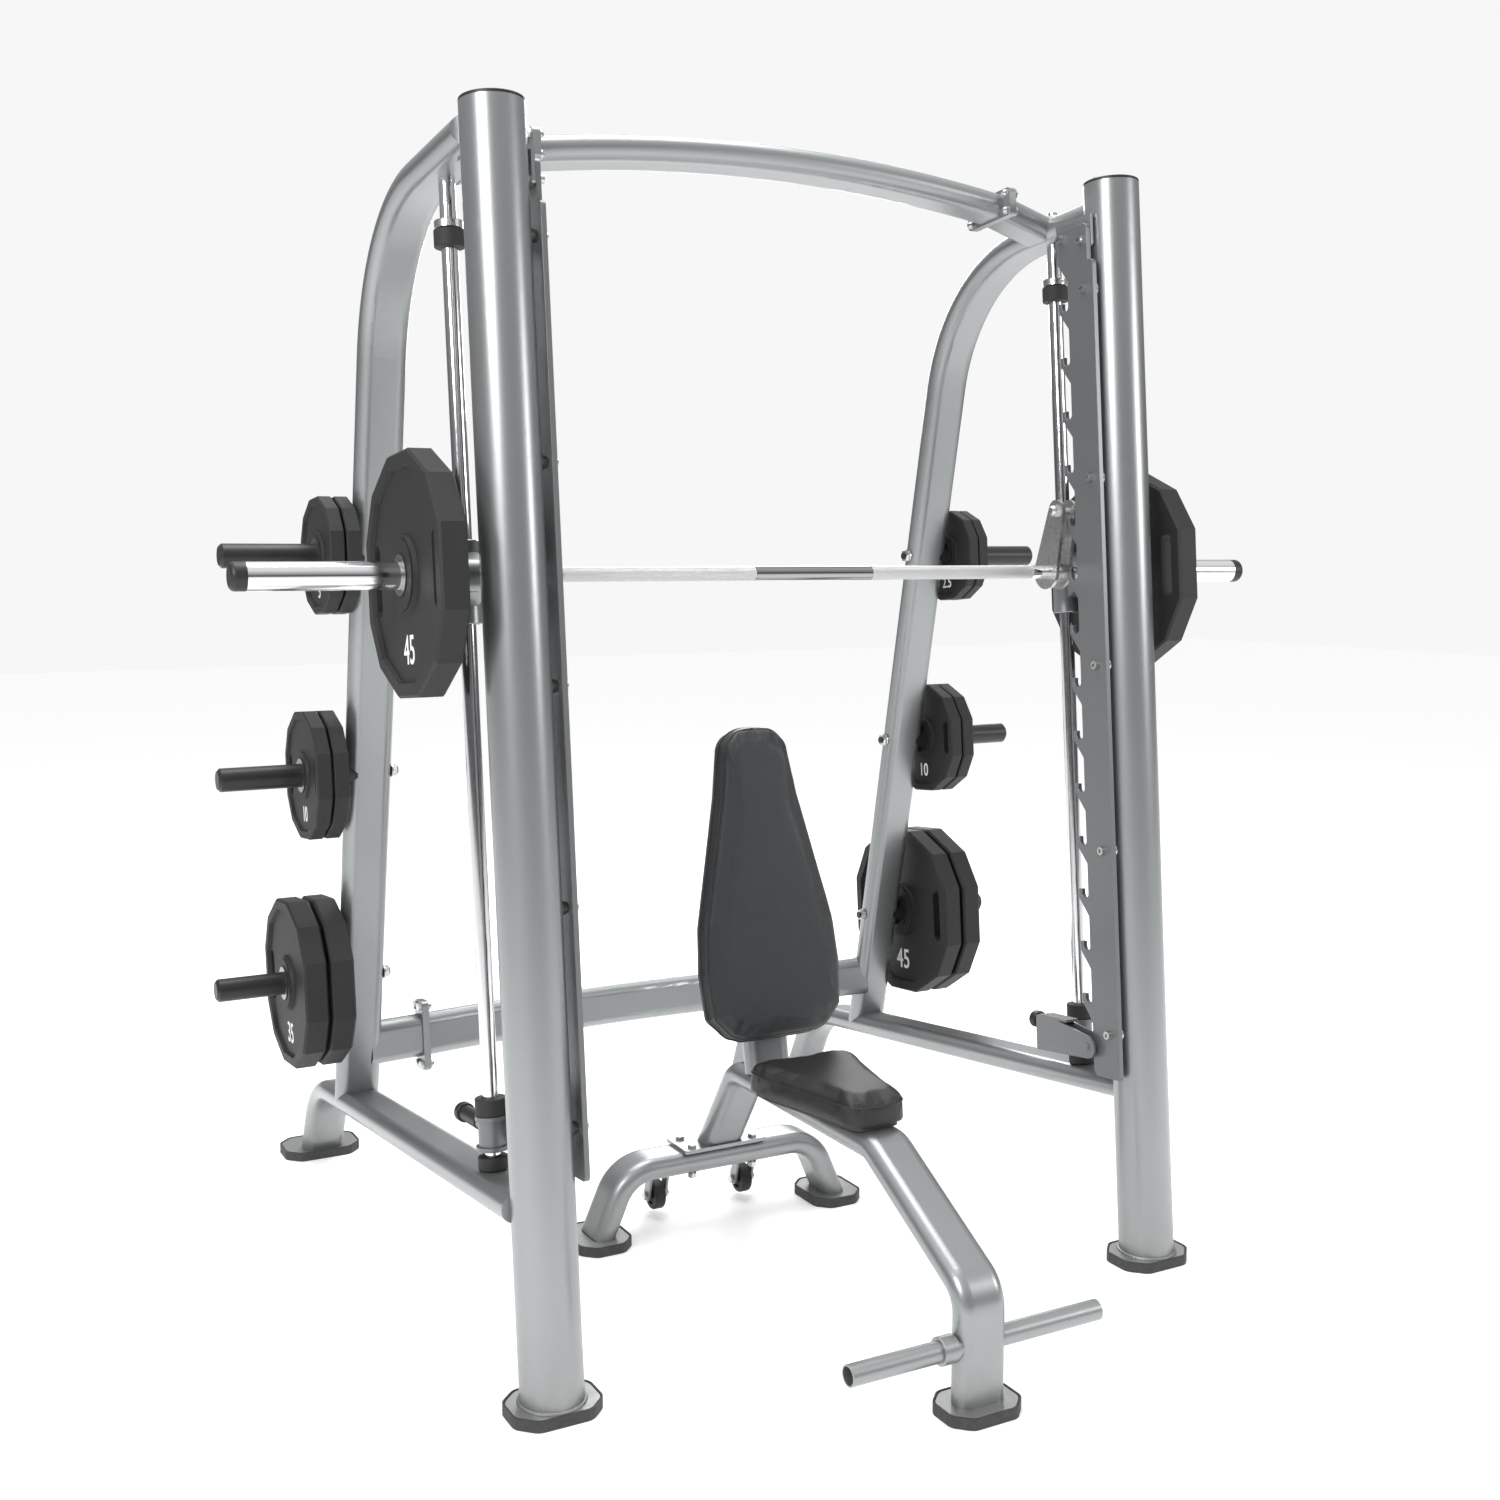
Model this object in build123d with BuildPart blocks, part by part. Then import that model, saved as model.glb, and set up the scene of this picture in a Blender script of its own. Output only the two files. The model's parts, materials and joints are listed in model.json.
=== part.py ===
from build123d import *
from math import cos, radians, sin
import os

os.makedirs("parts", exist_ok=True)

# Smith machine with a flat bench.  Millimetres, +Z up, front of the machine towards -Y.
# The guide rods, posts and racks lean back; everything fixed to them is drawn in the lean frame,
# the bench is drawn level.

# ---- driving dimensions -------------------------------------------------------------------
lean = radians(5)
post_y = -578.0
foot_top = 21.0

post_x = 674.0
post_r = 57.0
post_wall = 3.0
post_top = 2250.0

tube_w = 100.0
tube_t = 50.0
wall = 3.0
side_x = 694.0

rail_front = (18, 359.5)
rail_end = (1357, 326)
rear_foot = (1496, 107)
rear_foot_y = 1500.0

upright_foot = (1118, 335)
upright_corner = (558.5, 2205)
top_front = (18, 2205)

rod_x = 688.0
rod_y = 208.0
rod_r = 15.0
rod_top = 2232.0

crossbar_y = 222.0
flange_x = 535.0

rack_x = 600.0
rack_t = 10.0
pocket_pitch = 111.7
pocket_zero = 1998.0
pocket_count = 14
rack_bolt_z = [488 + 386 * i for i in range(5)]

bar_y = 134.0
bar_z = 1463.0
shaft_r = 14.0
sleeve_r = 25.0
sleeve_in = 735.0
bar_half = 1123.0

pegs = [(754, 1551), (890, 1096), (1028, 635)]
peg_r = 25.0
peg_tip = 1013.0

bench_y = post_y - 353.0
bench_x = -25.0

sides = (-1, 1)

lean_frame = Plane(
    origin=(0, post_y, 0),
    x_dir=(1, 0, 0),
    z_dir=(0, sin(lean), cos(lean)),
)


# ---- planes -------------------------------------------------------------------------------
def level(z):
    """Plane across the posts at height z; sketch x is X, sketch y runs rearward."""
    return lean_frame.offset(z)


def side_plane(x):
    """Leaning side view at X = x; sketch x runs rearward, sketch y runs up the posts."""
    start = lean_frame.from_local_coords(Vector(x, 0, 0))
    return Plane(origin=start, x_dir=lean_frame.y_dir, z_dir=(1, 0, 0))


def front_plane(y):
    """Leaning front view at depth y; sketch x is X, sketch y runs up the posts."""
    start = lean_frame.from_local_coords(Vector(0, y, 0))
    return Plane(origin=start, x_dir=(1, 0, 0), z_dir=-lean_frame.y_dir)


def bench_side(x):
    """Upright side view of the bench at X = x; sketch x runs rearward from its front leg."""
    return Plane(origin=(x, bench_y, 0), x_dir=(0, 1, 0), z_dir=(1, 0, 0))


def save(part, name):
    part.label = name
    export_step(part, "parts/" + name + ".step")


def save_bench(part, name):
    """Bench pieces are drawn on X = 0 and set a little left of the middle, as the bench stands."""
    save(part.moved(Location((bench_x, 0, 0))), name)


def side_name(side):
    return "left" if side < 0 else "right"


# ---- shared shapes ------------------------------------------------------------------------
def bent_tube(plane, points, bend, across, wide, thick):
    """Flat-oval bar bent along a path; across is the direction of its wide face."""
    with BuildPart() as tube:
        with BuildLine(plane) as route:
            if bend:
                FilletPolyline(*points, radius=bend)
            else:
                Polyline(*points)
        section = Plane(origin=route.line @ 0, x_dir=across, z_dir=route.line % 0)
        with BuildSketch(section):
            SlotOverall(wide, thick)
        sweep()
    return tube.part


def arched_tube(plane, points, across, wide, thick):
    """Flat-oval bar bowed through three points."""
    with BuildPart() as tube:
        with BuildLine(plane) as route:
            ThreePointArc(*points)
        section = Plane(origin=route.line @ 0, x_dir=across, z_dir=route.line % 0)
        with BuildSketch(section):
            SlotOverall(wide, thick)
        sweep()
    return tube.part


def side_tube(x, points, bend, inset=0):
    """Side-frame tube at X = x; inset shrinks it to the hollow inside."""
    wide = tube_w - 2 * inset
    thick = tube_t - 2 * inset
    return bent_tube(side_plane(x), points, bend, (1, 0, 0), wide, thick)


# ---- front posts --------------------------------------------------------------------------
def post_cylinder(side):
    with BuildPart() as body:
        with BuildSketch(level(-20)):
            with Locations((side * post_x, 0)):
                Circle(post_r)
        extrude(amount=post_top + 20)
    return body.part


def front_post(side):
    with BuildPart() as post:
        with BuildSketch(level(-20)):
            with Locations((side * post_x, 0)):
                Circle(post_r)
                Circle(post_r - post_wall, mode=Mode.SUBTRACT)
        extrude(amount=post_top + 20)
        split(bisect_by=Plane.XY.offset(foot_top), keep=Keep.TOP)
        with BuildSketch(side_plane(side * (post_x - post_r - 3))):
            with Locations(*[(0, z) for z in rack_bolt_z]):
                Circle(5.2)
        extrude(amount=side * 12, mode=Mode.SUBTRACT)
    return post.part


def post_caps():
    with BuildPart() as caps:
        with BuildSketch(level(post_top)):
            with Locations(*[(side * post_x, 0) for side in sides]):
                Circle(post_r)
        extrude(amount=6)
        upper = caps.faces().filter_by(Axis((0, 0, 0), lean_frame.z_dir)).sort_by(Axis.Z)[-2:]
        fillet(upper.edges(), 2)
        with BuildSketch(level(post_top - 14)):
            with Locations(*[(side * post_x, 0) for side in sides]):
                Circle(post_r - post_wall - 0.5)
                Circle(post_r - post_wall - 4, mode=Mode.SUBTRACT)
        extrude(amount=14)
    return caps.part


cap_screw_spots = [(side * post_x + step, 0) for side in sides for step in (-42, 42)]


# ---- feet ---------------------------------------------------------------------------------
def foot_plates(spots, wide, deep, corner):
    with BuildPart() as plates:
        with BuildSketch(Plane.XY.offset(foot_top - 9)):
            with Locations(*spots):
                Rectangle(wide, deep)
        extrude(amount=9)
        chamfer(plates.edges().filter_by(Axis.Z), corner)
        fillet(plates.edges().filter_by(Axis.Z), corner * 0.8)
        fillet(plates.faces().sort_by(Axis.Z)[-len(spots):].edges(), 1.5)
    return plates.part


def foot_boots(spots, wide, deep, corner):
    with BuildPart() as boots:
        with BuildSketch(Plane.XY):
            with Locations(*spots):
                Rectangle(wide + 8, deep + 8)
        extrude(amount=foot_top + 1)
        chamfer(boots.edges().filter_by(Axis.Z), corner + 2)
        fillet(boots.edges().filter_by(Axis.Z), corner * 0.85)
        fillet(boots.faces().sort_by(Axis.Z)[: len(spots)].edges(), 2)
        with BuildSketch(Plane.XY.offset(foot_top - 9)):
            with Locations(*spots):
                Rectangle(wide + 0.6, deep + 0.6)
        recess = extrude(amount=12, mode=Mode.PRIVATE)
        with BuildPart(mode=Mode.PRIVATE) as cutter:
            add(recess)
            chamfer(cutter.edges().filter_by(Axis.Z), corner)
            fillet(cutter.edges().filter_by(Axis.Z), corner * 0.8)
        add(cutter.part, mode=Mode.SUBTRACT)
    return boots.part


front_feet = [(side * post_x, post_y) for side in sides]
rear_feet = [(side * side_x, post_y + rear_foot_y) for side in sides]


# ---- side frames --------------------------------------------------------------------------
rail_points = [rail_front, rail_end, rear_foot]
frame_points = [upright_foot, upright_corner, top_front]


def rail_solid(side, inset=0):
    return side_tube(side * side_x, rail_points, 200, inset)


def closed_core(core, y):
    """Hollow of a side tube, stopped one wall short of its front end at depth y."""
    with BuildPart() as hollow:
        add(core)
        split(bisect_by=front_plane(y + wall), keep=Keep.BOTTOM)
    return hollow.part


def base_rail(side):
    """Low side rail that bends down into the rear leg, hollow, coped to the post."""
    shell = rail_solid(side)
    core = closed_core(rail_solid(side, wall), rail_front[0])
    post = post_cylinder(side)
    with BuildPart() as rail:
        add(shell)
        add(core, mode=Mode.SUBTRACT)
        add(post, mode=Mode.SUBTRACT)
        split(bisect_by=Plane.XY.offset(foot_top), keep=Keep.TOP)
        with BuildSketch(level(345)):
            with Locations((side * rod_x, rod_y)):
                Circle(rod_r + 0.2)
        extrude(amount=60, mode=Mode.SUBTRACT)
    return rail.part


def upright_x(z):
    """Depth of the upright's centre line at height z."""
    run = (upright_corner[0] - upright_foot[0]) / (upright_corner[1] - upright_foot[1])
    return upright_foot[0] + run * (z - upright_foot[1])


stub_top = [(flange_x + 8, 2243), (662, 2207)]
stub_rear = [(flange_x + 8, 1100), (672, upright_x(465))]


def top_stub(side, inset=0):
    points = [(side * x, z) for x, z in stub_top]
    wide, thick = tube_w - 2 * inset, tube_t - 2 * inset
    return bent_tube(front_plane(crossbar_y), points, 0, lean_frame.y_dir, wide, thick)


def rear_stub(side, inset=0):
    points = [(side * x, y) for x, y in stub_rear]
    wide, thick = tube_w - 2 * inset, tube_t - 2 * inset
    return bent_tube(level(465), points, 0, lean_frame.z_dir, wide, thick)


top_flange_bolts = [(crossbar_y + dy, 2245 + dz) for dy in (-62, 62) for dz in (-18, 18)]
rear_flange_bolts = [(1100 + dy, 465 + dz) for dy in (-16, 16) for dz in (-68, 68)]


def flange(x, centre, wide, tall, bolts, away):
    """Bolted joint plate with its corner holes."""
    with BuildPart() as plate:
        with BuildSketch(side_plane(x)):
            with Locations(centre):
                RectangleRounded(wide, tall, 10)
            with Locations(*bolts):
                Circle(5.3, mode=Mode.SUBTRACT)
        extrude(amount=away * 8)
    return plate.part


def rack_lug(side):
    """Angle bracket under the top tube that carries the rack's upper end."""
    with BuildPart() as lug:
        with BuildSketch(side_plane(side * (rack_x + rack_t / 2 + 0.5))):
            with Locations((42, 2151)):
                RectangleRounded(110, 66, 8)
            with Locations((67, 2148), (4, 2132)):
                Circle(5.2, mode=Mode.SUBTRACT)
        extrude(amount=side * 7)
        with BuildSketch(level(2176)):
            with Locations((side * 655, 42)):
                Rectangle(100, 110)
        extrude(amount=8)
    return lug.part


def side_frame(side):
    """Upright bent forward into the top tube, with its stubs and rack lug."""
    x = side * side_x
    shell = side_tube(x, frame_points, 370)
    core = closed_core(side_tube(x, frame_points, 370, wall), top_front[0])
    rail = rail_solid(side)
    post = post_cylinder(side)
    stubs = [top_stub(side), rear_stub(side)]
    hollows = [top_stub(side, wall), rear_stub(side, wall)]
    at = side * (flange_x + 8)
    plates = [
        flange(at, (crossbar_y, 2245), 150, 58, top_flange_bolts, -side),
        flange(at, (1100, 465), 58, 162, rear_flange_bolts, -side),
    ]
    lug = rack_lug(side)
    with BuildPart() as frame:
        add(shell)
        add(stubs)
        add(core, mode=Mode.SUBTRACT)
        add(hollows, mode=Mode.SUBTRACT)
        add(plates)
        add(lug)
        add(post, mode=Mode.SUBTRACT)
        add(rail, mode=Mode.SUBTRACT)
        with BuildSketch(side_plane(0)):
            with Locations(*pegs):
                Circle(8.2)
        extrude(amount=side * 800, mode=Mode.SUBTRACT)
        with BuildSketch(level(2170)):
            with Locations((side * rod_x, rod_y)):
                Circle(rod_r + 0.2)
        extrude(amount=30, mode=Mode.SUBTRACT)
        with BuildSketch(level(2200)):
            with Locations((side * rod_x, rod_y)):
                Circle(10.2)
        extrude(amount=60, mode=Mode.SUBTRACT)
    return frame.part


# ---- crossbars ----------------------------------------------------------------------------
def top_crossbar():
    ends = [(-flange_x + 4, 2245), (0, 2286), (flange_x - 4, 2245)]
    plane = front_plane(crossbar_y)
    shell = arched_tube(plane, ends, lean_frame.y_dir, tube_w, tube_t)
    core = arched_tube(plane, ends, lean_frame.y_dir, tube_w - 2 * wall, tube_t - 2 * wall)
    with BuildPart() as bar:
        add(shell)
        add(core, mode=Mode.SUBTRACT)
        for side in sides:
            add(flange(side * flange_x, (crossbar_y, 2245), 150, 58, top_flange_bolts, -side))
        with BuildSketch(side_plane(flange_x)):
            with Locations((crossbar_y, 2245)):
                Rectangle(200, 200)
        extrude(amount=30, mode=Mode.SUBTRACT)
        with BuildSketch(side_plane(-flange_x)):
            with Locations((crossbar_y, 2245)):
                Rectangle(200, 200)
        extrude(amount=-30, mode=Mode.SUBTRACT)
    return bar.part


def rear_crossbar():
    ends = [(-flange_x + 4, 1100), (0, 1160), (flange_x - 4, 1100)]
    shell = arched_tube(level(465), ends, lean_frame.z_dir, tube_w, tube_t)
    core = arched_tube(level(465), ends, lean_frame.z_dir, tube_w - 2 * wall, tube_t - 2 * wall)
    with BuildPart() as bar:
        add(shell)
        add(core, mode=Mode.SUBTRACT)
        for side in sides:
            add(flange(side * flange_x, (1100, 465), 58, 162, rear_flange_bolts, -side))
        with BuildSketch(side_plane(flange_x)):
            with Locations((1100, 465)):
                Rectangle(200, 300)
        extrude(amount=30, mode=Mode.SUBTRACT)
        with BuildSketch(side_plane(-flange_x)):
            with Locations((1100, 465)):
                Rectangle(200, 300)
        extrude(amount=-30, mode=Mode.SUBTRACT)
    return bar.part


def flange_bolts():
    """Bolts through the four crossbar joints: shank, washer face, nut and domed head."""
    spots = top_flange_bolts + rear_flange_bolts
    with BuildPart() as bolts:
        for side in sides:
            inner = side_plane(side * (flange_x - 8))
            outer = side_plane(side * (flange_x + 8))
            with BuildSketch(inner):
                with Locations(*spots):
                    Circle(5)
            extrude(amount=side * 20)
            with BuildSketch(inner):
                with Locations(*spots):
                    Circle(8.5)
            extrude(amount=-side * 5)
            with BuildSketch(side_plane(side * (flange_x - 13))):
                with Locations(*spots):
                    Circle(7)
            extrude(amount=-side * 5, taper=30)
            with BuildSketch(outer):
                with Locations(*spots):
                    RegularPolygon(8.5, 6, major_radius=False)
            extrude(amount=side * 8)
    return bolts.part


# ---- guide rods and their stops -----------------------------------------------------------
rod_spots = [(side * rod_x, rod_y) for side in sides]


def guide_rods():
    with BuildPart() as rods:
        with BuildSketch(level(347)):
            with Locations(*rod_spots):
                Circle(rod_r)
        extrude(amount=2196 - 347)
        with BuildSketch(level(2190)):
            with Locations(*rod_spots):
                Circle(9.9)
        extrude(amount=rod_top + 16 - 2190)
    return rods.part


def stop_rubbers():
    """Black rings round each rod: one under the top collar, one on the base rail."""
    with BuildPart() as rings:
        for z, height in ((2056, 32), (381.5, 24)):
            with BuildSketch(level(z)):
                with Locations(*rod_spots):
                    Circle(28)
                    Circle(rod_r + 0.1, mode=Mode.SUBTRACT)
            extrude(amount=height)
        rims = rings.edges().filter_by(GeomType.CIRCLE).filter_by(lambda e: e.radius > 27)
        fillet(rims, 2.5)
    return rings.part


# ---- racks --------------------------------------------------------------------------------
def rack_plate(side):
    """Toothed plate: body, narrow upper lug and one hooked pocket per pitch."""
    zeros = [pocket_zero - pocket_pitch * i for i in range(pocket_count)]
    start = side * rack_x - rack_t / 2
    with BuildPart() as plate:
        with BuildSketch(side_plane(start)) as outline:
            Polygon((-28, 395), (54, 395), (54, 2060), (83, 2098), (83, 2165), (-12, 2165),
                    (-12, 2090), (-28, 2090), align=None)
            fillet(outline.vertices().sort_by_distance((54, 2060, 0))[0], 10)
            corners = outline.vertices().filter_by(lambda v: v.Y < 400 or v.Y > 2150)
            fillet(corners, 12)
            shoulder = outline.vertices().filter_by(lambda v: v.X < -20 and v.Y > 2050)
            fillet(shoulder, 12)
            for zero in zeros:
                with Locations((0, zero)):
                    Polygon((50, -40), (54, -38), (84, 0), (84, 19), (50, 19), align=None)
            with Locations(*[(64, zero + 10) for zero in zeros]):
                Circle(10, mode=Mode.SUBTRACT)
            with Locations(*[(64, zero + 17) for zero in zeros]):
                Rectangle(20, 14, mode=Mode.SUBTRACT)
            with Locations(*[(0, z) for z in rack_bolt_z]):
                Circle(5.2, mode=Mode.SUBTRACT)
            with Locations((67, 2148), (4, 2132)):
                Circle(5.2, mode=Mode.SUBTRACT)
        extrude(amount=rack_t)
        chamfer(plate.faces().filter_by(Axis.X).edges().filter_by(GeomType.LINE), 0.6)
    return plate.part


def rack_spacers():
    """Domed spacers between rack and post, coped to the post."""
    cylinders = [post_cylinder(side) for side in sides]
    spots = [(0, z) for z in rack_bolt_z]
    with BuildPart() as spacers:
        for side in sides:
            with BuildSketch(side_plane(side * (rack_x + rack_t / 2))):
                with Locations(*spots):
                    Circle(10)
            extrude(amount=side * 15, taper=-22)
        for side in sides:
            with BuildSketch(side_plane(side * (rack_x + rack_t / 2))):
                with Locations(*spots):
                    Circle(5.2)
            extrude(amount=side * 15, mode=Mode.SUBTRACT)
        add(cylinders, mode=Mode.SUBTRACT)
    return spacers.part


def rack_bolts():
    """Socket-head bolts holding racks to posts and to the upper lugs, with nuts behind."""
    spots = [(0, z) for z in rack_bolt_z]
    lug_spots = [(67, 2148), (4, 2132)]
    with BuildPart() as bolts:
        for side in sides:
            face = side * (rack_x - rack_t / 2)
            with BuildSketch(side_plane(face)):
                with Locations(*(spots + lug_spots)):
                    Circle(8.5)
                    RegularPolygon(4, 6, major_radius=False, mode=Mode.SUBTRACT)
            extrude(amount=-side * 10)
            with BuildSketch(side_plane(face - side * 3)):
                with Locations(*(spots + lug_spots)):
                    Circle(5)
            extrude(amount=side * 24)
            with BuildSketch(side_plane(face - side * 3)):
                with Locations(*spots):
                    Circle(5)
            extrude(amount=side * 38)
            with BuildSketch(side_plane(side * (rack_x + rack_t / 2 + 7.5))):
                with Locations(*lug_spots):
                    RegularPolygon(8.5, 6, major_radius=False)
            extrude(amount=side * 4)
    return bolts.part


# ---- storage pegs -------------------------------------------------------------------------
def storage_pegs():
    uprights = [side_tube(side * side_x, frame_points, 370) for side in sides]
    with BuildPart() as body:
        for side in sides:
            with BuildSketch(side_plane(side * 722)):
                with Locations(*pegs):
                    Circle(peg_r)
            extrude(amount=side * (peg_tip - 722))
        tips = body.faces().filter_by(Axis.X).sort_by(Axis.X)
        chamfer((tips[:3] + tips[-3:]).edges(), 6)
        add(uprights, mode=Mode.SUBTRACT)
        for side in sides:
            with BuildSketch(side_plane(side * 744.5)):
                with Locations(*pegs):
                    Circle(36)
            extrude(amount=side * 7)
        for side in sides:
            with BuildSketch(side_plane(side * 628)):
                with Locations(*pegs):
                    Circle(8)
            extrude(amount=side * 130)
    return body.part


def frame_nuts():
    """Peg-stud nuts and washers, rod-stud nuts, and the screws of the post caps."""
    with BuildPart() as nuts:
        for side in sides:
            with BuildSketch(side_plane(side * 643.5)):
                with Locations(*pegs):
                    Circle(15)
                    Circle(8.05, mode=Mode.SUBTRACT)
            extrude(amount=-side * 3)
            with BuildSketch(side_plane(side * 640.5)):
                with Locations(*pegs):
                    RegularPolygon(12, 6, major_radius=False)
                    Circle(8.05, mode=Mode.SUBTRACT)
            extrude(amount=-side * 9)
        with BuildSketch(level(2230.5)):
            with Locations(*rod_spots):
                RegularPolygon(14, 6, major_radius=False)
                Circle(10, mode=Mode.SUBTRACT)
        extrude(amount=11)
        with BuildSketch(level(post_top + 6)):
            with Locations(*cap_screw_spots):
                Circle(6)
        extrude(amount=5, taper=15)
    return nuts.part


def upper_stop_collars():
    """Steel clamp collars that hold the upper rubber rings on the rods."""
    with BuildPart() as collars:
        with BuildSketch(level(2089)):
            with Locations(*rod_spots):
                Circle(26)
                Circle(rod_r, mode=Mode.SUBTRACT)
        extrude(amount=15)
        rims = collars.edges().filter_by(GeomType.CIRCLE).filter_by(lambda e: e.radius > 25)
        chamfer(rims, 1.2)
        with BuildSketch(front_plane(rod_y - 20)):
            with Locations(*[(side * rod_x, 2096.5) for side in sides]):
                Circle(2.5)
        extrude(amount=8, mode=Mode.SUBTRACT)
    return collars.part


# ---- carriages ----------------------------------------------------------------------------
bearing_len = 48.0
carriage_low = bar_z - 84.0
carriage_high = bar_z + 68.0


def carriage(side):
    """Rod housing with a cross hub for the bar, bored for its bearings."""
    with BuildPart() as body:
        with BuildSketch(level(carriage_low)):
            with Locations((side * rod_x, rod_y)):
                Circle(27)
        extrude(amount=carriage_high - carriage_low)
        chamfer(body.edges().filter_by(GeomType.CIRCLE), 1.5)
        with BuildSketch(side_plane(side * (rod_x - 33))):
            with Locations((bar_y, bar_z)):
                Circle(30)
        extrude(amount=side * 66)
        with BuildSketch(side_plane(side * (rod_x - 14))):
            Polygon((bar_y + 8, bar_z - 29), (rod_y, bar_z - 66), (rod_y, bar_z + 56),
                    (bar_y + 8, bar_z + 29), align=None)
        extrude(amount=side * 28)
        with BuildSketch(level(carriage_low)):
            with Locations((side * rod_x, rod_y)):
                Circle(17)
        extrude(amount=carriage_high - carriage_low, mode=Mode.SUBTRACT)
        for start in (carriage_low, carriage_high - bearing_len):
            with BuildSketch(level(start)):
                with Locations((side * rod_x, rod_y)):
                    Circle(21)
            extrude(amount=bearing_len, mode=Mode.SUBTRACT)
        with BuildSketch(side_plane(side * (rod_x - 33))):
            with Locations((bar_y, bar_z)):
                Circle(22)
        extrude(amount=side * 66, mode=Mode.SUBTRACT)
    return body.part


def linear_bearings():
    with BuildPart() as sleeves:
        for start in (carriage_low + 0.5, carriage_high - bearing_len + 0.5):
            with BuildSketch(level(start)):
                with Locations(*rod_spots):
                    Circle(21)
                    Circle(rod_r + 0.05, mode=Mode.SUBTRACT)
            extrude(amount=bearing_len - 1)
    return sleeves.part


def bar_bearings():
    with BuildPart() as races:
        for side in sides:
            for start in (rod_x - 32.5, rod_x + 12.5):
                with BuildSketch(side_plane(side * start)):
                    with Locations((bar_y, bar_z)):
                        Circle(22)
                        Circle(shaft_r + 0.05, mode=Mode.SUBTRACT)
                extrude(amount=side * 20)
    return races.part


# ---- bar ----------------------------------------------------------------------------------
cap_len = 27.0
hook_pin = (93.0, 1588.0)


def bar_shaft():
    reach = bar_half - cap_len
    with BuildPart() as shaft:
        with BuildSketch(side_plane(-reach)):
            with Locations((bar_y, bar_z)):
                Circle(shaft_r)
        extrude(amount=2 * reach)
        for x in (-535, -133, 131, 533):
            with BuildSketch(side_plane(x)):
                with Locations((bar_y, bar_z)):
                    Circle(shaft_r + 1)
                    Circle(shaft_r - 0.5, mode=Mode.SUBTRACT)
            extrude(amount=2, mode=Mode.SUBTRACT)
    return shaft.part


def bar_sleeves():
    reach = bar_half - cap_len
    with BuildPart() as sleeves:
        for side in sides:
            with BuildSketch(side_plane(side * sleeve_in)):
                with Locations((bar_y, bar_z)):
                    Circle(sleeve_r)
            extrude(amount=side * (reach - sleeve_in))
            with BuildSketch(side_plane(side * (sleeve_in + 3))):
                with Locations((bar_y, bar_z)):
                    Circle(36)
            extrude(amount=side * 10)
        rims = sleeves.edges().filter_by(GeomType.CIRCLE).filter_by(lambda e: e.radius > 35)
        chamfer(rims, 2)
        for side in sides:
            with BuildSketch(side_plane(side * (sleeve_in - 1))):
                with Locations((bar_y, bar_z)):
                    Circle(shaft_r)
            extrude(amount=side * 400, mode=Mode.SUBTRACT)
    return sleeves.part


def bar_end_caps():
    with BuildPart() as caps:
        for side in sides:
            with BuildSketch(side_plane(side * (bar_half - cap_len))):
                with Locations((bar_y, bar_z)):
                    Circle(sleeve_r)
            extrude(amount=side * cap_len)
        ends = caps.faces().filter_by(Axis.X).sort_by(Axis.X)
        fillet((ends[:1] + ends[-1:]).edges(), 9)
    return caps.part


def lock_hooks():
    """Hook arms on the bar, one plate each side of the rack, joined by a hub round the bar."""
    with BuildPart() as hooks:
        for side in sides:
            for start in (575, 608):
                with BuildSketch(side_plane(side * start)):
                    with Locations((bar_y, bar_z)):
                        Circle(37)
                    with Locations(hook_pin):
                        Circle(23)
                    make_hull()
                extrude(amount=side * 8)
            with BuildSketch(side_plane(side * 575)):
                with Locations((bar_y, bar_z)):
                    Circle(21)
            extrude(amount=side * 41)
            with BuildSketch(side_plane(side * 570)):
                with Locations((bar_y, bar_z)):
                    Circle(shaft_r)
                with Locations(hook_pin):
                    Circle(7)
            extrude(amount=side * 60, mode=Mode.SUBTRACT)
    return hooks.part


def hook_pins():
    """Cross pins that drop into the rack pockets, with domed nuts outside the plates."""
    with BuildPart() as pins:
        for side in sides:
            with BuildSketch(side_plane(side * 572)):
                with Locations(hook_pin):
                    Circle(7)
            extrude(amount=side * 47)
            for start, way in ((575, -1), (616, 1)):
                with BuildSketch(side_plane(side * start)):
                    with Locations(hook_pin):
                        RegularPolygon(12, 6, major_radius=False)
                extrude(amount=side * way * 7)
                with BuildSketch(side_plane(side * (start + way * 7))):
                    with Locations(hook_pin):
                        Circle(11)
                extrude(amount=side * way * 6, taper=35)
    return pins.part


# ---- safety stops -------------------------------------------------------------------------
stop_low = 417.0
stop_high = 481.0
knob_z = 455.0


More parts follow.
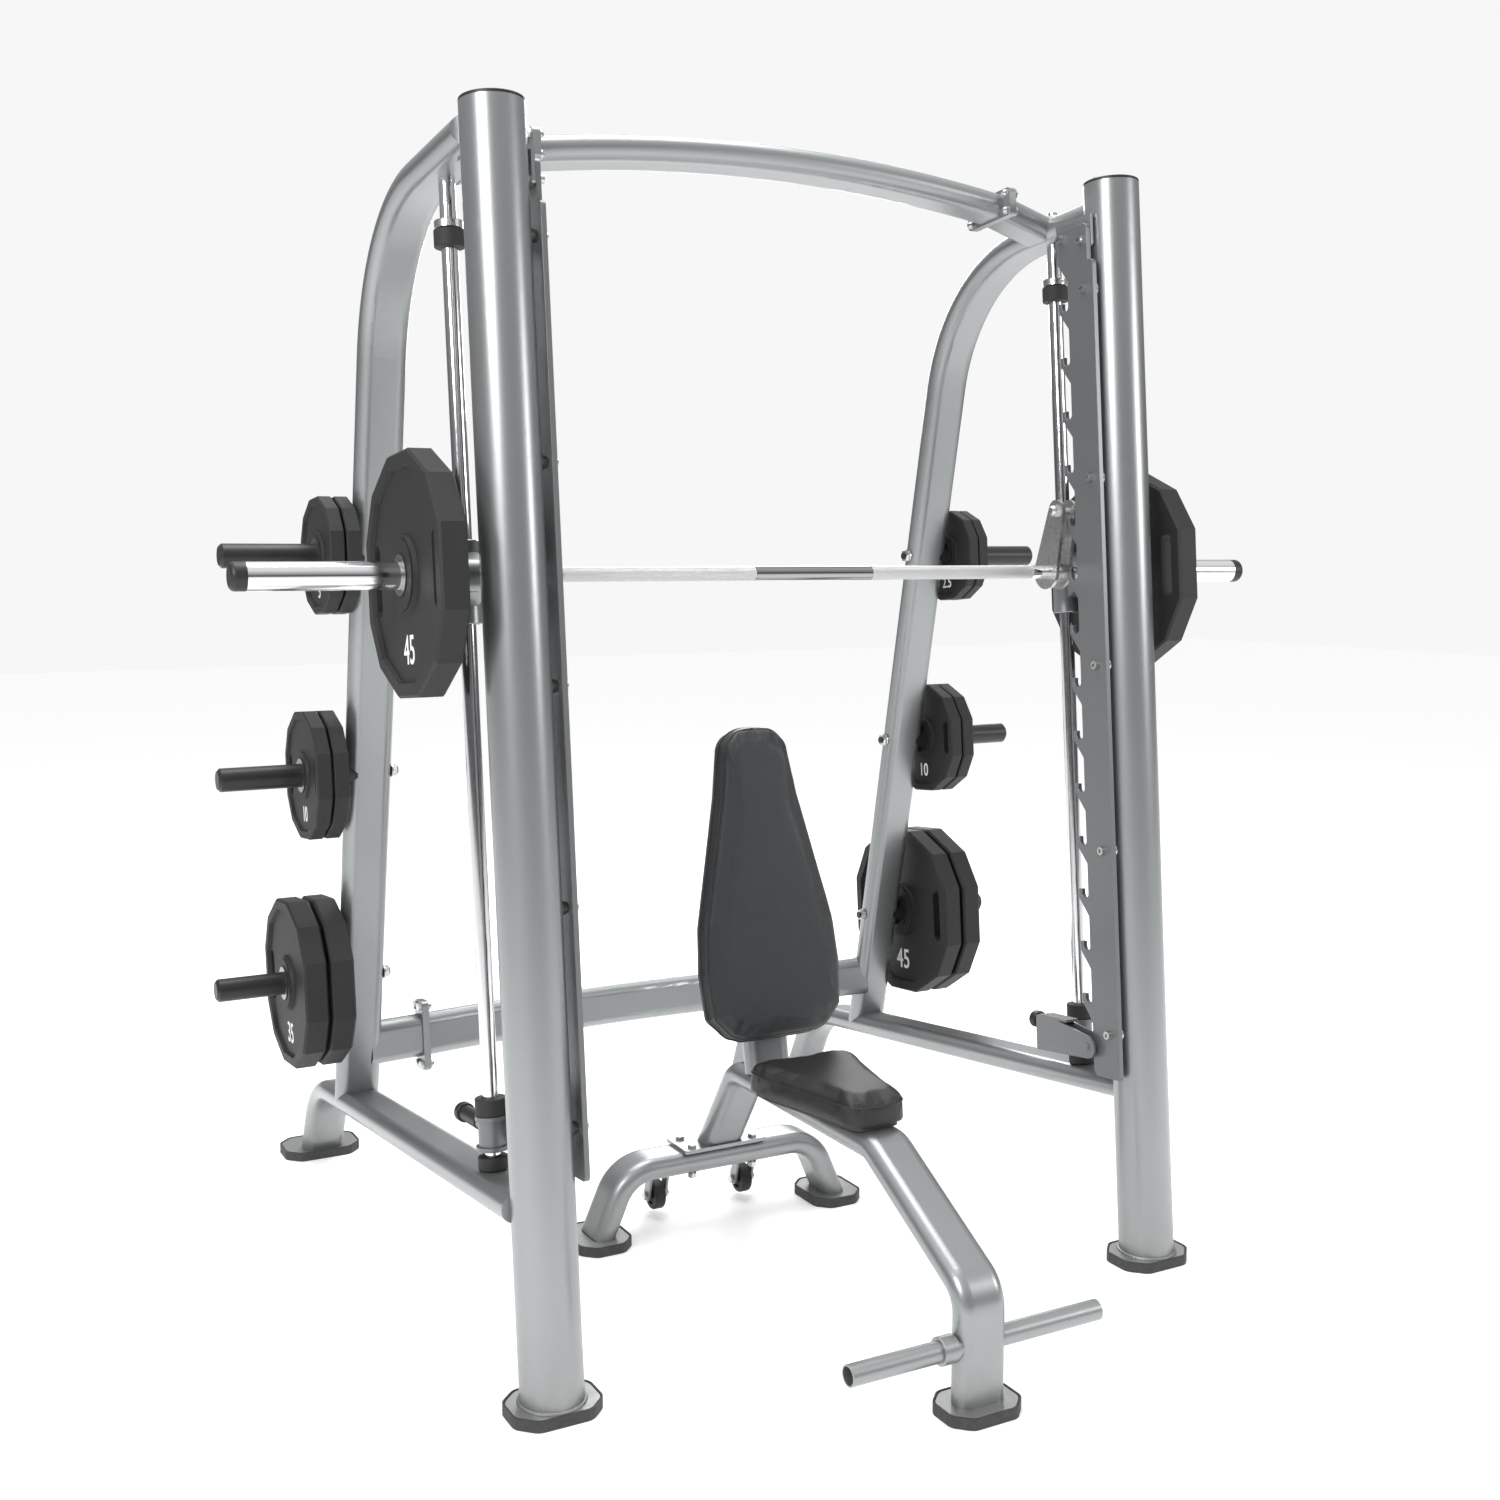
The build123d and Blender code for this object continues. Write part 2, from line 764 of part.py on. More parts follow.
def safety_stop(side):
    """Flanged sleeve on the rod with a folded bracket that straddles the rack plate."""
    with BuildPart() as stop:
        with BuildSketch(level(stop_low)):
            with Locations((side * rod_x, rod_y)):
                Circle(25)
        extrude(amount=stop_high - stop_low)
        for z in (stop_low, stop_high - 8):
            with BuildSketch(level(z)):
                with Locations((side * rod_x, rod_y)):
                    Circle(30)
            extrude(amount=8)
        for start in (580, 607):
            with BuildSketch(side_plane(side * start)):
                with Locations((58, 455)):
                    Circle(24)
                with Locations((223, 427), (223, 495), (182, 498)):
                    Circle(4)
                make_hull()
            extrude(amount=side * 5)
        for centre, wide, tall in (((165, 499.5), 84, 5), ((224.5, 460), 5, 66)):
            with BuildSketch(side_plane(side * 580)):
                with Locations(centre):
                    Rectangle(wide, tall)
            extrude(amount=side * 32)
        with BuildSketch(side_plane(side * 611)):
            with Locations((208, 450)):
                RectangleRounded(26, 44, 4)
        extrude(amount=side * 60)
        with BuildSketch(front_plane(rod_y + 56)):
            with Locations((side * rod_x, knob_z)):
                Circle(13)
        extrude(amount=40)
        for start, way in ((580, -1), (612, 1)):
            with BuildSketch(side_plane(side * start)):
                with Locations((58, 455)):
                    Circle(8)
            extrude(amount=side * way * 4, taper=20)
        with BuildSketch(level(stop_low)):
            with Locations((side * rod_x, rod_y)):
                Circle(rod_r + 0.05)
        extrude(amount=stop_high - stop_low, mode=Mode.SUBTRACT)
        with BuildSketch(front_plane(rod_y + 60)):
            with Locations((side * rod_x, knob_z)):
                Circle(7.05)
        extrude(amount=60, mode=Mode.SUBTRACT)
    return stop.part


def stop_pad(side):
    with BuildPart() as pad:
        with BuildSketch(level(stop_high)):
            with Locations((side * rod_x, rod_y)):
                Circle(29)
                Circle(rod_r + 0.5, mode=Mode.SUBTRACT)
        extrude(amount=33)
        rims = pad.edges().filter_by(GeomType.CIRCLE).filter_by(lambda e: e.radius > 28)
        fillet(rims, 3)
    return pad.part


def stop_knob(side):
    """Spring plunger: pin in the sleeve's rear boss, plastic grip and a flared end cap."""
    spot = (side * rod_x, knob_z)
    with BuildPart() as knob:
        with BuildSketch(front_plane(rod_y + 75)):
            with Locations(spot):
                Circle(7)
        extrude(amount=75 - rod_r - 1.5)
        with BuildSketch(front_plane(rod_y + 146)):
            with Locations(spot):
                Circle(15)
        extrude(amount=88)
        with BuildSketch(front_plane(rod_y + 162)):
            with Locations(spot):
                Circle(19)
        extrude(amount=20)
        rims = knob.edges().filter_by(GeomType.CIRCLE).filter_by(lambda e: e.radius > 18)
        fillet(rims, 3)
        with BuildSketch(front_plane(rod_y + 163)):
            with Locations(spot):
                Circle(12)
        extrude(amount=3, mode=Mode.SUBTRACT)
    return knob.part


# ---- weight plates ------------------------------------------------------------------------
def twelve_sides(radius):
    """Corner points of a twelve-sided plate with longer front and rear flats."""
    quarter = [(1.0, 0.34), (0.757, 0.744), (0.27, 1.0)]
    upper = quarter + [(-a, b) for a, b in reversed(quarter)]
    lower = [(-a, -b) for a, b in quarter] + [(a, -b) for a, b in reversed(quarter)]
    return [(radius * a, radius * b) for a, b in upper + lower]


def weight_plate(side, near, spot, radius, rim_t, hub_t, grip=None):
    """One plate across the bar direction; near is the distance of its hub face from X = 0."""
    mid = side * (near + hub_t / 2)
    hub_r = max(0.30 * radius, 46)
    with BuildPart() as plate:
        with BuildSketch(side_plane(mid)):
            with Locations(spot):
                Polygon(*twelve_sides(radius), align=None)
        extrude(amount=rim_t / 2, both=True)
        chamfer(plate.faces().filter_by(Axis.X).edges(), rim_t * 0.09)
        for face in (-1, 1):
            with BuildSketch(side_plane(mid + face * rim_t / 2)):
                with Locations(spot):
                    Polygon(*twelve_sides(radius * 0.88), align=None)
                    Circle(hub_r + 4, mode=Mode.SUBTRACT)
            extrude(amount=-face * rim_t * 0.16, taper=20, mode=Mode.SUBTRACT)
        with BuildSketch(side_plane(mid)):
            with Locations(spot):
                Circle(hub_r)
        extrude(amount=hub_t / 2 - 2, both=True)
        with BuildSketch(side_plane(mid)):
            with Locations(spot):
                Circle(38)
        extrude(amount=hub_t / 2, both=True)
        with BuildSketch(side_plane(mid)):
            with Locations(spot):
                Circle(sleeve_r + 0.5)
        extrude(amount=hub_t, both=True, mode=Mode.SUBTRACT)
        if grip:
            wide, tall = grip
            y, z = spot
            with BuildSketch(side_plane(mid)):
                with Locations((y - 0.775 * radius, z), (y + 0.775 * radius, z)):
                    SlotOverall(tall, wide, rotation=90)
            extrude(amount=hub_t, both=True, mode=Mode.SUBTRACT)
    return plate.part


plate_kinds = {
    "45": (213.0, 50.0, 59.0, (32, 130)),
    "35": (183.0, 50.0, 58.0, (30, 112)),
    "10": (136.0, 32.0, 36.0, (22, 84)),
    "5": (119.0, 30.0, 34.0, None),
    "2p5": (109.0, 25.0, 28.0, None),
}


def stored_plates(side, spot, kind, count, near=752):
    radius, rim_t, hub_t, grip = plate_kinds[kind]
    plates = [
        weight_plate(side, near + i * (hub_t + 0.5), spot, radius, rim_t, hub_t, grip)
        for i in range(count)
    ]
    with BuildPart() as group:
        add(plates)
    return group.part


# ---- bench --------------------------------------------------------------------------------
beam_points = [(0, 18), (0, 218), (300, 385), (836, 385), (1018, 118)]
arch_y = 985.0
arch_top = 180.0
arch_bolt_spots = [(x, bench_y + arch_y + y) for x in (-75, 75) for y in (-30, 30)]
bench_front_foot = [(0, bench_y)]
bench_rear_feet = [(x, bench_y + arch_y) for x in (-290, 290)]
wheel_x = 110.0
wheel_spot = (1072.0, 48.0)
wheel_r = 33.0
foot_bar_z = 127.0
tilt = radians(10.5)


def bench_beam():
    """Bent main beam from the front foot up under the seat and down to the rear arch."""
    shell = bent_tube(bench_side(0), beam_points, 62, (1, 0, 0), tube_w, tube_t)
    core = bent_tube(bench_side(0), beam_points, 62, (1, 0, 0), tube_w - 6, tube_t - 6)
    with BuildPart() as beam:
        add(shell)
        add(core, mode=Mode.SUBTRACT)
        split(bisect_by=Plane.XY.offset(foot_top), keep=Keep.TOP)
        with BuildSketch(Plane.XY.offset(arch_top + 8)):
            with Locations((0, bench_y + arch_y)):
                Rectangle(400, 200)
        extrude(amount=-100, mode=Mode.SUBTRACT)
        with BuildSketch(Plane.XY.offset(arch_top)):
            with Locations((0, bench_y + arch_y)):
                RectangleRounded(200, 100, 6)
            with Locations(*arch_bolt_spots):
                Circle(5.3, mode=Mode.SUBTRACT)
        extrude(amount=8)
        with BuildSketch(Plane.YZ):
            with Locations((bench_y, foot_bar_z)):
                Circle(19.1)
        extrude(amount=120, both=True, mode=Mode.SUBTRACT)
    return beam.part


def backrest_post():
    """Upright tube behind the back pad with its rear gusset, standing on the beam."""
    low = (750, 405)
    high = (750 + 545 * sin(tilt), 405 + 545 * cos(tilt))
    shell = bent_tube(bench_side(0), [low, high], 0, (1, 0, 0), tube_w, tube_t)
    core = bent_tube(bench_side(0), [low, high], 0, (1, 0, 0), tube_w - 6, tube_t - 6)
    beam = bent_tube(bench_side(0), beam_points, 62, (1, 0, 0), tube_w, tube_t)
    with BuildPart() as post:
        add(shell)
        add(core, mode=Mode.SUBTRACT)
        with BuildSketch(bench_side(-4)):
            Polygon((768, 372), (908, 362), (862, 470), (818, 520), (780, 520), align=None)
        extrude(amount=8)
        add(beam, mode=Mode.SUBTRACT)
    return post.part


def bench_arch():
    """Rear cross tube, bent down at both ends to the feet, with the beam's seat plate."""
    plane = Plane(origin=(0, bench_y + arch_y, 0), x_dir=(1, 0, 0), z_dir=(0, -1, 0))
    points = [(-291, 14), (-230, 155), (230, 155), (291, 14)]
    shell = bent_tube(plane, points, 90, (0, 1, 0), tube_w, tube_t)
    core = bent_tube(plane, points, 90, (0, 1, 0), tube_w - 6, tube_t - 6)
    with BuildPart() as arch:
        add(shell)
        add(core, mode=Mode.SUBTRACT)
        split(bisect_by=Plane.XY.offset(foot_top), keep=Keep.TOP)
        with BuildSketch(Plane.XY.offset(100)):
            with Locations(*arch_bolt_spots):
                Circle(5.3)
        extrude(amount=120, mode=Mode.SUBTRACT)
        with BuildSketch(Plane.XY.offset(foot_top)):
            with Locations((0, bench_y + arch_y)):
                Rectangle(800, 300)
        extrude(amount=-30, mode=Mode.SUBTRACT)
    return arch.part


def foot_bar():
    """Cross tube through the front leg, with a stop collar on its left side."""
    with BuildPart() as bar:
        with BuildSketch(Plane.YZ.offset(-265)):
            with Locations((bench_y, foot_bar_z)):
                Circle(19)
        extrude(amount=527)
        with BuildSketch(Plane.YZ.offset(-84)):
            with Locations((bench_y, foot_bar_z)):
                Circle(25)
        extrude(amount=32)
        rims = bar.edges().filter_by(GeomType.CIRCLE).filter_by(lambda e: e.radius > 24)
        fillet(rims, 2)
        with BuildSketch(Plane.YZ.offset(-270)):
            with Locations((bench_y, foot_bar_z)):
                Circle(16)
        extrude(amount=540, mode=Mode.SUBTRACT)
    return bar.part


def seat_outline(shrink=0):
    """Seat plan: narrow rounded nose, straight flanks, wide rear."""
    Polygon((-124 + shrink, 636 - shrink), (124 - shrink, 636 - shrink),
            (122 - shrink, 570), (62 - shrink, 303 + shrink), (-62 + shrink, 303 + shrink),
            (-122 + shrink, 570), align=None)


def seat_pad():
    with BuildPart() as pad:
        with BuildSketch(Plane.XY.offset(420)) as plan:
            with Locations((0, bench_y)):
                seat_outline()
            fillet(plan.vertices(), 34)
        extrude(amount=54)
        fillet(pad.faces().sort_by(Axis.Z)[-1].edges(), 14)
    return pad.part


back_plane = Plane(
    origin=(0, bench_y + 693, 485),
    x_dir=(1, 0, 0),
    z_dir=(0, -cos(tilt), sin(tilt)),
)


def back_outline(shrink=0):
    """Back-pad outline: wide rounded foot, flanks narrowing to the head end."""
    half = [(112 - shrink, 2 + shrink), (158 - shrink, 55), (165 - shrink, 150),
            (158 - shrink, 245), (98 - shrink, 510), (76 - shrink, 655 - shrink)]
    Polygon(*(half + [(-x, y) for x, y in reversed(half)]), align=None)


def back_pad():
    with BuildPart() as pad:
        with BuildSketch(back_plane.offset(-34)) as plan:
            back_outline()
            fillet(plan.vertices().sort_by(Axis.Y)[-2:], 56)
            fillet(plan.vertices().sort_by(Axis.Y)[:4], 30)
        extrude(amount=50)
        fillet(pad.faces().filter_by(Axis((0, 0, 0), back_plane.z_dir)).sort_by(Axis.Y)[0].edges(), 14)
    return pad.part


def pad_boards():
    """Plywood boards screwed under the seat and behind the back pad."""
    with BuildPart() as boards:
        with BuildSketch(Plane.XY.offset(410)) as plan:
            with Locations((0, bench_y)):
                seat_outline(16)
            fillet(plan.vertices(), 22)
        extrude(amount=10)
        with BuildSketch(back_plane.offset(-45.6)) as rear:
            back_outline(10)
            fillet(rear.vertices().sort_by(Axis.Y)[-2:], 46)
            fillet(rear.vertices().sort_by(Axis.Y)[:4], 24)
        extrude(amount=11.6)
    return boards.part


def bench_feet(kind):
    """Front and rear foot plates, or the rubber boots under them."""
    front = kind(bench_front_foot, 144, 108, 28)
    rear = kind(bench_rear_feet, 116, 146, 28)
    with BuildPart() as feet:
        add(front)
        add(rear)
    return feet.part


def bench_bolts():
    """Four bolts through the arch with their nuts, and the two wheel axle bolts."""
    with BuildPart() as bolts:
        with BuildSketch(Plane.XY.offset(arch_top + 8)):
            with Locations(*arch_bolt_spots):
                RegularPolygon(9, 6, major_radius=False)
        extrude(amount=7)
        with BuildSketch(Plane.XY.offset(118)):
            with Locations(*arch_bolt_spots):
                Circle(5)
        extrude(amount=72)
        with BuildSketch(Plane.XY.offset(121)):
            with Locations(*arch_bolt_spots):
                RegularPolygon(9, 6, major_radius=False)
        extrude(amount=8.8)
        axle_y = bench_y + wheel_spot[0]
        for side in sides:
            with BuildSketch(Plane.YZ.offset(side * (wheel_x + 24))):
                with Locations((axle_y, wheel_spot[1])):
                    Circle(5)
            extrude(amount=-side * 48)
            with BuildSketch(Plane.YZ.offset(side * (wheel_x + 23))):
                with Locations((axle_y, wheel_spot[1])):
                    RegularPolygon(8.5, 6, major_radius=False)
            extrude(amount=side * 7)
            with BuildSketch(Plane.YZ.offset(side * (wheel_x - 23))):
                with Locations((axle_y, wheel_spot[1])):
                    RegularPolygon(8.5, 6, major_radius=False)
            extrude(amount=-side * 7)
    return bolts.part


def wheel_brackets():
    """Forked cheeks that hang the wheels behind the arch."""
    y, z = wheel_spot
    with BuildPart() as brackets:
        for side in sides:
            for start in (-23, 18):
                with BuildSketch(Plane.YZ.offset(side * wheel_x + start)):
                    with Locations((bench_y + y, z)):
                        Circle(13)
                    with Locations((bench_y + 1038, 138), (bench_y + 1052, 138)):
                        Circle(3)
                    make_hull()
                    with Locations((bench_y + y, z)):
                        Circle(5.05, mode=Mode.SUBTRACT)
                extrude(amount=5)
            with BuildSketch(Plane.YZ.offset(side * wheel_x - 23)):
                with Locations((bench_y + 1037.6, 133)):
                    Rectangle(4, 46)
            extrude(amount=46)
    return brackets.part


def bench_wheel(side):
    y, z = wheel_spot
    with BuildPart() as wheel:
        with BuildSketch(Plane.YZ.offset(side * wheel_x - 13)):
            with Locations((bench_y + y, z)):
                Circle(wheel_r)
        extrude(amount=26)
        fillet(wheel.edges(), 5)
        for start, way in ((-13, 1), (13, -1)):
            with BuildSketch(Plane.YZ.offset(side * wheel_x + start)):
                with Locations((bench_y + y, z)):
                    Circle(22)
                    Circle(10, mode=Mode.SUBTRACT)
            extrude(amount=way * 5, mode=Mode.SUBTRACT)
        with BuildSketch(Plane.YZ.offset(side * wheel_x - 17)):
            with Locations((bench_y + y, z)):
                Circle(9)
        extrude(amount=34)
        with BuildSketch(Plane.YZ.offset(side * wheel_x - 18)):
            with Locations((bench_y + y, z)):
                Circle(5.05)
        extrude(amount=36, mode=Mode.SUBTRACT)
    return wheel.part


# ---- export -------------------------------------------------------------------------------
for side in sides:
    name = side_name(side)
    save(front_post(side), "front_post_" + name)
    save(base_rail(side), "base_rail_" + name)
    save(side_frame(side), "side_frame_" + name)
    save(rack_plate(side), "rack_plate_" + name)
    save(carriage(side), "carriage_" + name)
    save(safety_stop(side), "safety_stop_" + name)
    save(stop_pad(side), "stop_pad_" + name)
    save(stop_knob(side), "stop_knob_" + name)
    near = 775 if side < 0 else 752
    save(stored_plates(side, (bar_y, bar_z), "45", 1, near), "bar_plate_" + name)
    save_bench(bench_wheel(side), "bench_wheel_" + name)

save(post_caps(), "post_caps")
save(foot_plates(front_feet, 160, 122, 32), "front_foot_plates")
save(foot_boots(front_feet, 160, 122, 32), "front_foot_boots")
save(foot_plates(rear_feet, 176, 126, 30), "rear_foot_plates")
save(foot_boots(rear_feet, 176, 126, 30), "rear_foot_boots")
save(top_crossbar(), "top_crossbar")
save(rear_crossbar(), "rear_crossbar")
save(flange_bolts(), "flange_bolts")
save(guide_rods(), "guide_rods")
save(stop_rubbers(), "stop_rubbers")
save(upper_stop_collars(), "upper_stop_collars")
save(rack_spacers(), "rack_spacers")
save(rack_bolts(), "rack_bolts")
save(storage_pegs(), "storage_pegs")
save(frame_nuts(), "frame_nuts")
save(linear_bearings(), "linear_bearings")
save(bar_bearings(), "bar_bearings")
save(bar_shaft(), "bar_shaft")
save(bar_sleeves(), "bar_sleeves")
save(bar_end_caps(), "bar_end_caps")
save(lock_hooks(), "lock_hooks")
save(hook_pins(), "hook_pins")

save(stored_plates(-1, pegs[0], "5", 2), "stored_5s_left")
save(stored_plates(-1, pegs[1], "10", 2, 768), "stored_10s_left")
save(stored_plates(-1, pegs[2], "35", 2), "stored_35s_left")
save(stored_plates(1, pegs[0], "2p5", 2), "stored_2p5s_right")
save(stored_plates(1, pegs[1], "10", 2), "stored_10s_right")
save(stored_plates(1, pegs[2], "45", 2), "stored_45s_right")

save_bench(bench_beam(), "bench_beam")
save_bench(backrest_post(), "backrest_post")
save_bench(bench_arch(), "bench_arch")
save_bench(foot_bar(), "foot_bar")
save_bench(seat_pad(), "seat_pad")
save_bench(back_pad(), "back_pad")
save_bench(pad_boards(), "pad_boards")
save_bench(bench_feet(foot_plates), "bench_foot_plates")
save_bench(bench_feet(foot_boots), "bench_foot_boots")
save_bench(bench_bolts(), "bench_bolts")
save_bench(wheel_brackets(), "wheel_brackets")
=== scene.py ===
"""Looks of a leaning smith machine with a bench: pads, plate numbers, welds, finishes, stage."""

import json
import math

import bpy
from bpy.props import FloatProperty, FloatVectorProperty, PointerProperty
from mathutils import Matrix, Vector


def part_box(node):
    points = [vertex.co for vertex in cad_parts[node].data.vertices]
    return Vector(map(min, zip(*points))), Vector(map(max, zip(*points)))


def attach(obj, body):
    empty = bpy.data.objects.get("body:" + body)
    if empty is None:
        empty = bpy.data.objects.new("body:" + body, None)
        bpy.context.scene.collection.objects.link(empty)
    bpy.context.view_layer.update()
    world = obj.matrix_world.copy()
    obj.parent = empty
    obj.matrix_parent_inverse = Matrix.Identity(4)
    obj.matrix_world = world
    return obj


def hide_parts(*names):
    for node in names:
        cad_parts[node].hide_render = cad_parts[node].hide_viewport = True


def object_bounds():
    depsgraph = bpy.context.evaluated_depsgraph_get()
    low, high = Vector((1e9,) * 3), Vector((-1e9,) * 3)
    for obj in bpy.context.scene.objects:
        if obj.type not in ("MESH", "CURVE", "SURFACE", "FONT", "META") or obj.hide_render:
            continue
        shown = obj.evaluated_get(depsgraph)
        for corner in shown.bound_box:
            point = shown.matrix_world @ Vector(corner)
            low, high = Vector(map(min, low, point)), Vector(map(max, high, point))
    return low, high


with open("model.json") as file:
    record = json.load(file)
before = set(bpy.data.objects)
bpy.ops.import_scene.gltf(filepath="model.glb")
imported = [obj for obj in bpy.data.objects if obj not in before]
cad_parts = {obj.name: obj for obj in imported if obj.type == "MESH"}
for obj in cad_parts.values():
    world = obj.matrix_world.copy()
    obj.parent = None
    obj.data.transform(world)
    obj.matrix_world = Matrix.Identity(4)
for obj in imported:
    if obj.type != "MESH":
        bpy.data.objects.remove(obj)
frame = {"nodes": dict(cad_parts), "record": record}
cad_lo, cad_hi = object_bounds()

bl_info = {
    "name": "Smith machine looks",
    "version": (1, 0, 0),
    "blender": (4, 5, 0),
    "location": "3D View > Sidebar > Smith machine",
    "description": "Pads, plate numbers, weld beads, finishes and stage of a smith machine",
    "category": "Object",
}

LEAN = math.radians(5)
LEAN_UP = Vector((0, math.sin(LEAN), math.cos(LEAN)))
SHAFT_RADIUS = 0.014
KNURL_PITCH = 0.0024
KNURL_FROM, KNURL_TO = 0.133, 0.535
HUB_RING_RADIUS = 0.0362
PLY = 0.0026
RECESS = 0.16
DIGIT_WIDTH = 0.86
DIGIT_SIZE = 1.36
WELD_RADIUS = 0.058
WELD_STEPS = 144
CLOTH_FRAMES = 20


# ---- sizes and colours a user may change ----------------------------------------------------
def length(name, default, description):
    return FloatProperty(name=name, default=default, min=0.0, unit="LENGTH", precision=4,
                         description=description)


def colour(name, default, description):
    return FloatVectorProperty(name=name, default=default, size=3, min=0.0, max=1.0,
                               subtype="COLOR", description=description)


def factor(name, default, description):
    return FloatProperty(name=name, default=default, min=0.0, max=1.0, subtype="FACTOR",
                         description=description)


class SMITH_PG_pads(bpy.types.PropertyGroup):
    shrink: length("Starting inset", 0.004, "How much smaller each pad starts before it swells")
    crown: length("Crown", 0.007, "Furthest that the vinyl may swell")
    seat_nose: length("Nose half width", 0.062, "Half the width of the seat's front edge")
    seat_corner: length("Seat corner", 0.034, "Radius of the seat's corners in plan")
    welt: length("Welt radius", 0.0019, "Radius of the sewn welt round each pad")
    back_length: length("Back length", 0.653, "Length of the back pad along its board")
    back_depth: length("Back depth", 0.050, "Thickness of the back pad")
    back_tilt: FloatProperty(name="Back tilt", default=math.radians(10.5), subtype="ANGLE",
                             description="How far the back pad leans from upright")


class SMITH_PG_plates(bpy.types.PropertyGroup):
    digit_drop: factor("Digit drop", 0.62, "Distance of the digits below the bore, of the radius")
    digit_height: factor("Digit height", 0.25, "Height of the digits, of the plate's radius")
    relief: length("Digit relief", 0.0006, "How far the digits stand out of the rubber")
    rubber: colour("Rubber", (0.007, 0.007, 0.0075), "Colour of the plates' rubber")
    digits: colour("Digits", (0.82, 0.82, 0.80), "Colour of the digits")


class SMITH_PG_finish(bpy.types.PropertyGroup):
    silver: colour("Silver paint", (0.30, 0.312, 0.315), "Metallic paint on the tubes")
    rack: colour("Rack paint", (0.165, 0.172, 0.176), "Metallic paint on the rack plates")
    vinyl_back: colour("Back vinyl", (0.016, 0.018, 0.019), "Vinyl on the back pad")
    vinyl_seat: colour("Seat vinyl", (0.005, 0.005, 0.0055), "Vinyl on the seat pad")
    plastic: colour("Black plastic", (0.007, 0.007, 0.0075), "Caps, grips and storage pegs")
    weld: length("Weld bead", 0.0035, "Radius of the weld beads")


class SMITH_PG_stage(bpy.types.PropertyGroup):
    floor_size: length("Floor size", 40.0, "Side of the square floor")
    floor_tone: colour("Floor tone", (0.90, 0.90, 0.90), "Colour of the floor")
    glow: factor("Floor glow", 0.30, "Light that the floor gives, so that its far end stays pale")
    air: colour("Air", (0.93, 0.93, 0.93), "Colour of the studio behind the machine")
    lens: FloatProperty(name="Lens", default=40.75, unit="CAMERA",
                        description="Focal length in millimetres on a 36 mm sensor")


def settings():
    return bpy.context.scene.smith


class SMITH_PG_all(bpy.types.PropertyGroup):
    pads: PointerProperty(type=SMITH_PG_pads, name="Pads", description="Sizes of the pads")
    plates: PointerProperty(type=SMITH_PG_plates, name="Plates", description="Digits and rubber")
    finish: PointerProperty(type=SMITH_PG_finish, name="Finish", description="Paints and vinyl")
    stage: PointerProperty(type=SMITH_PG_stage, name="Stage", description="Floor and camera")


# ---- shader maths ---------------------------------------------------------------------------
class Value:
    """A number socket that adds Math nodes when it is used in an expression."""

    def __init__(self, shader, socket):
        self.shader = shader
        self.socket = socket

    def math(self, operation, *others):
        items = [self] + list(others)
        node = self.shader.node("ShaderNodeMath", {"operation": operation}, dict(enumerate(items)))
        return Value(self.shader, node.outputs[0])

    def __add__(self, other):
        return self.math("ADD", other)

    __radd__ = __add__

    def __mul__(self, other):
        return self.math("MULTIPLY", other)

    __rmul__ = __mul__

    def __sub__(self, other):
        return self.math("SUBTRACT", other)

    def __rsub__(self, other):
        return (self * -1.0) + other

    def __truediv__(self, other):
        return self.math("DIVIDE", other)

    def __abs__(self):
        return self.math("ABSOLUTE")

    def above(self, edge, soft):
        """0 below edge, 1 above it, over a soft band."""
        node = self.shader.node(
            "ShaderNodeMapRange",
            {"interpolation_type": "SMOOTHSTEP"},
            {"Value": self, "From Min": edge - soft, "From Max": edge + soft},
        )
        return Value(self.shader, node.outputs["Result"])


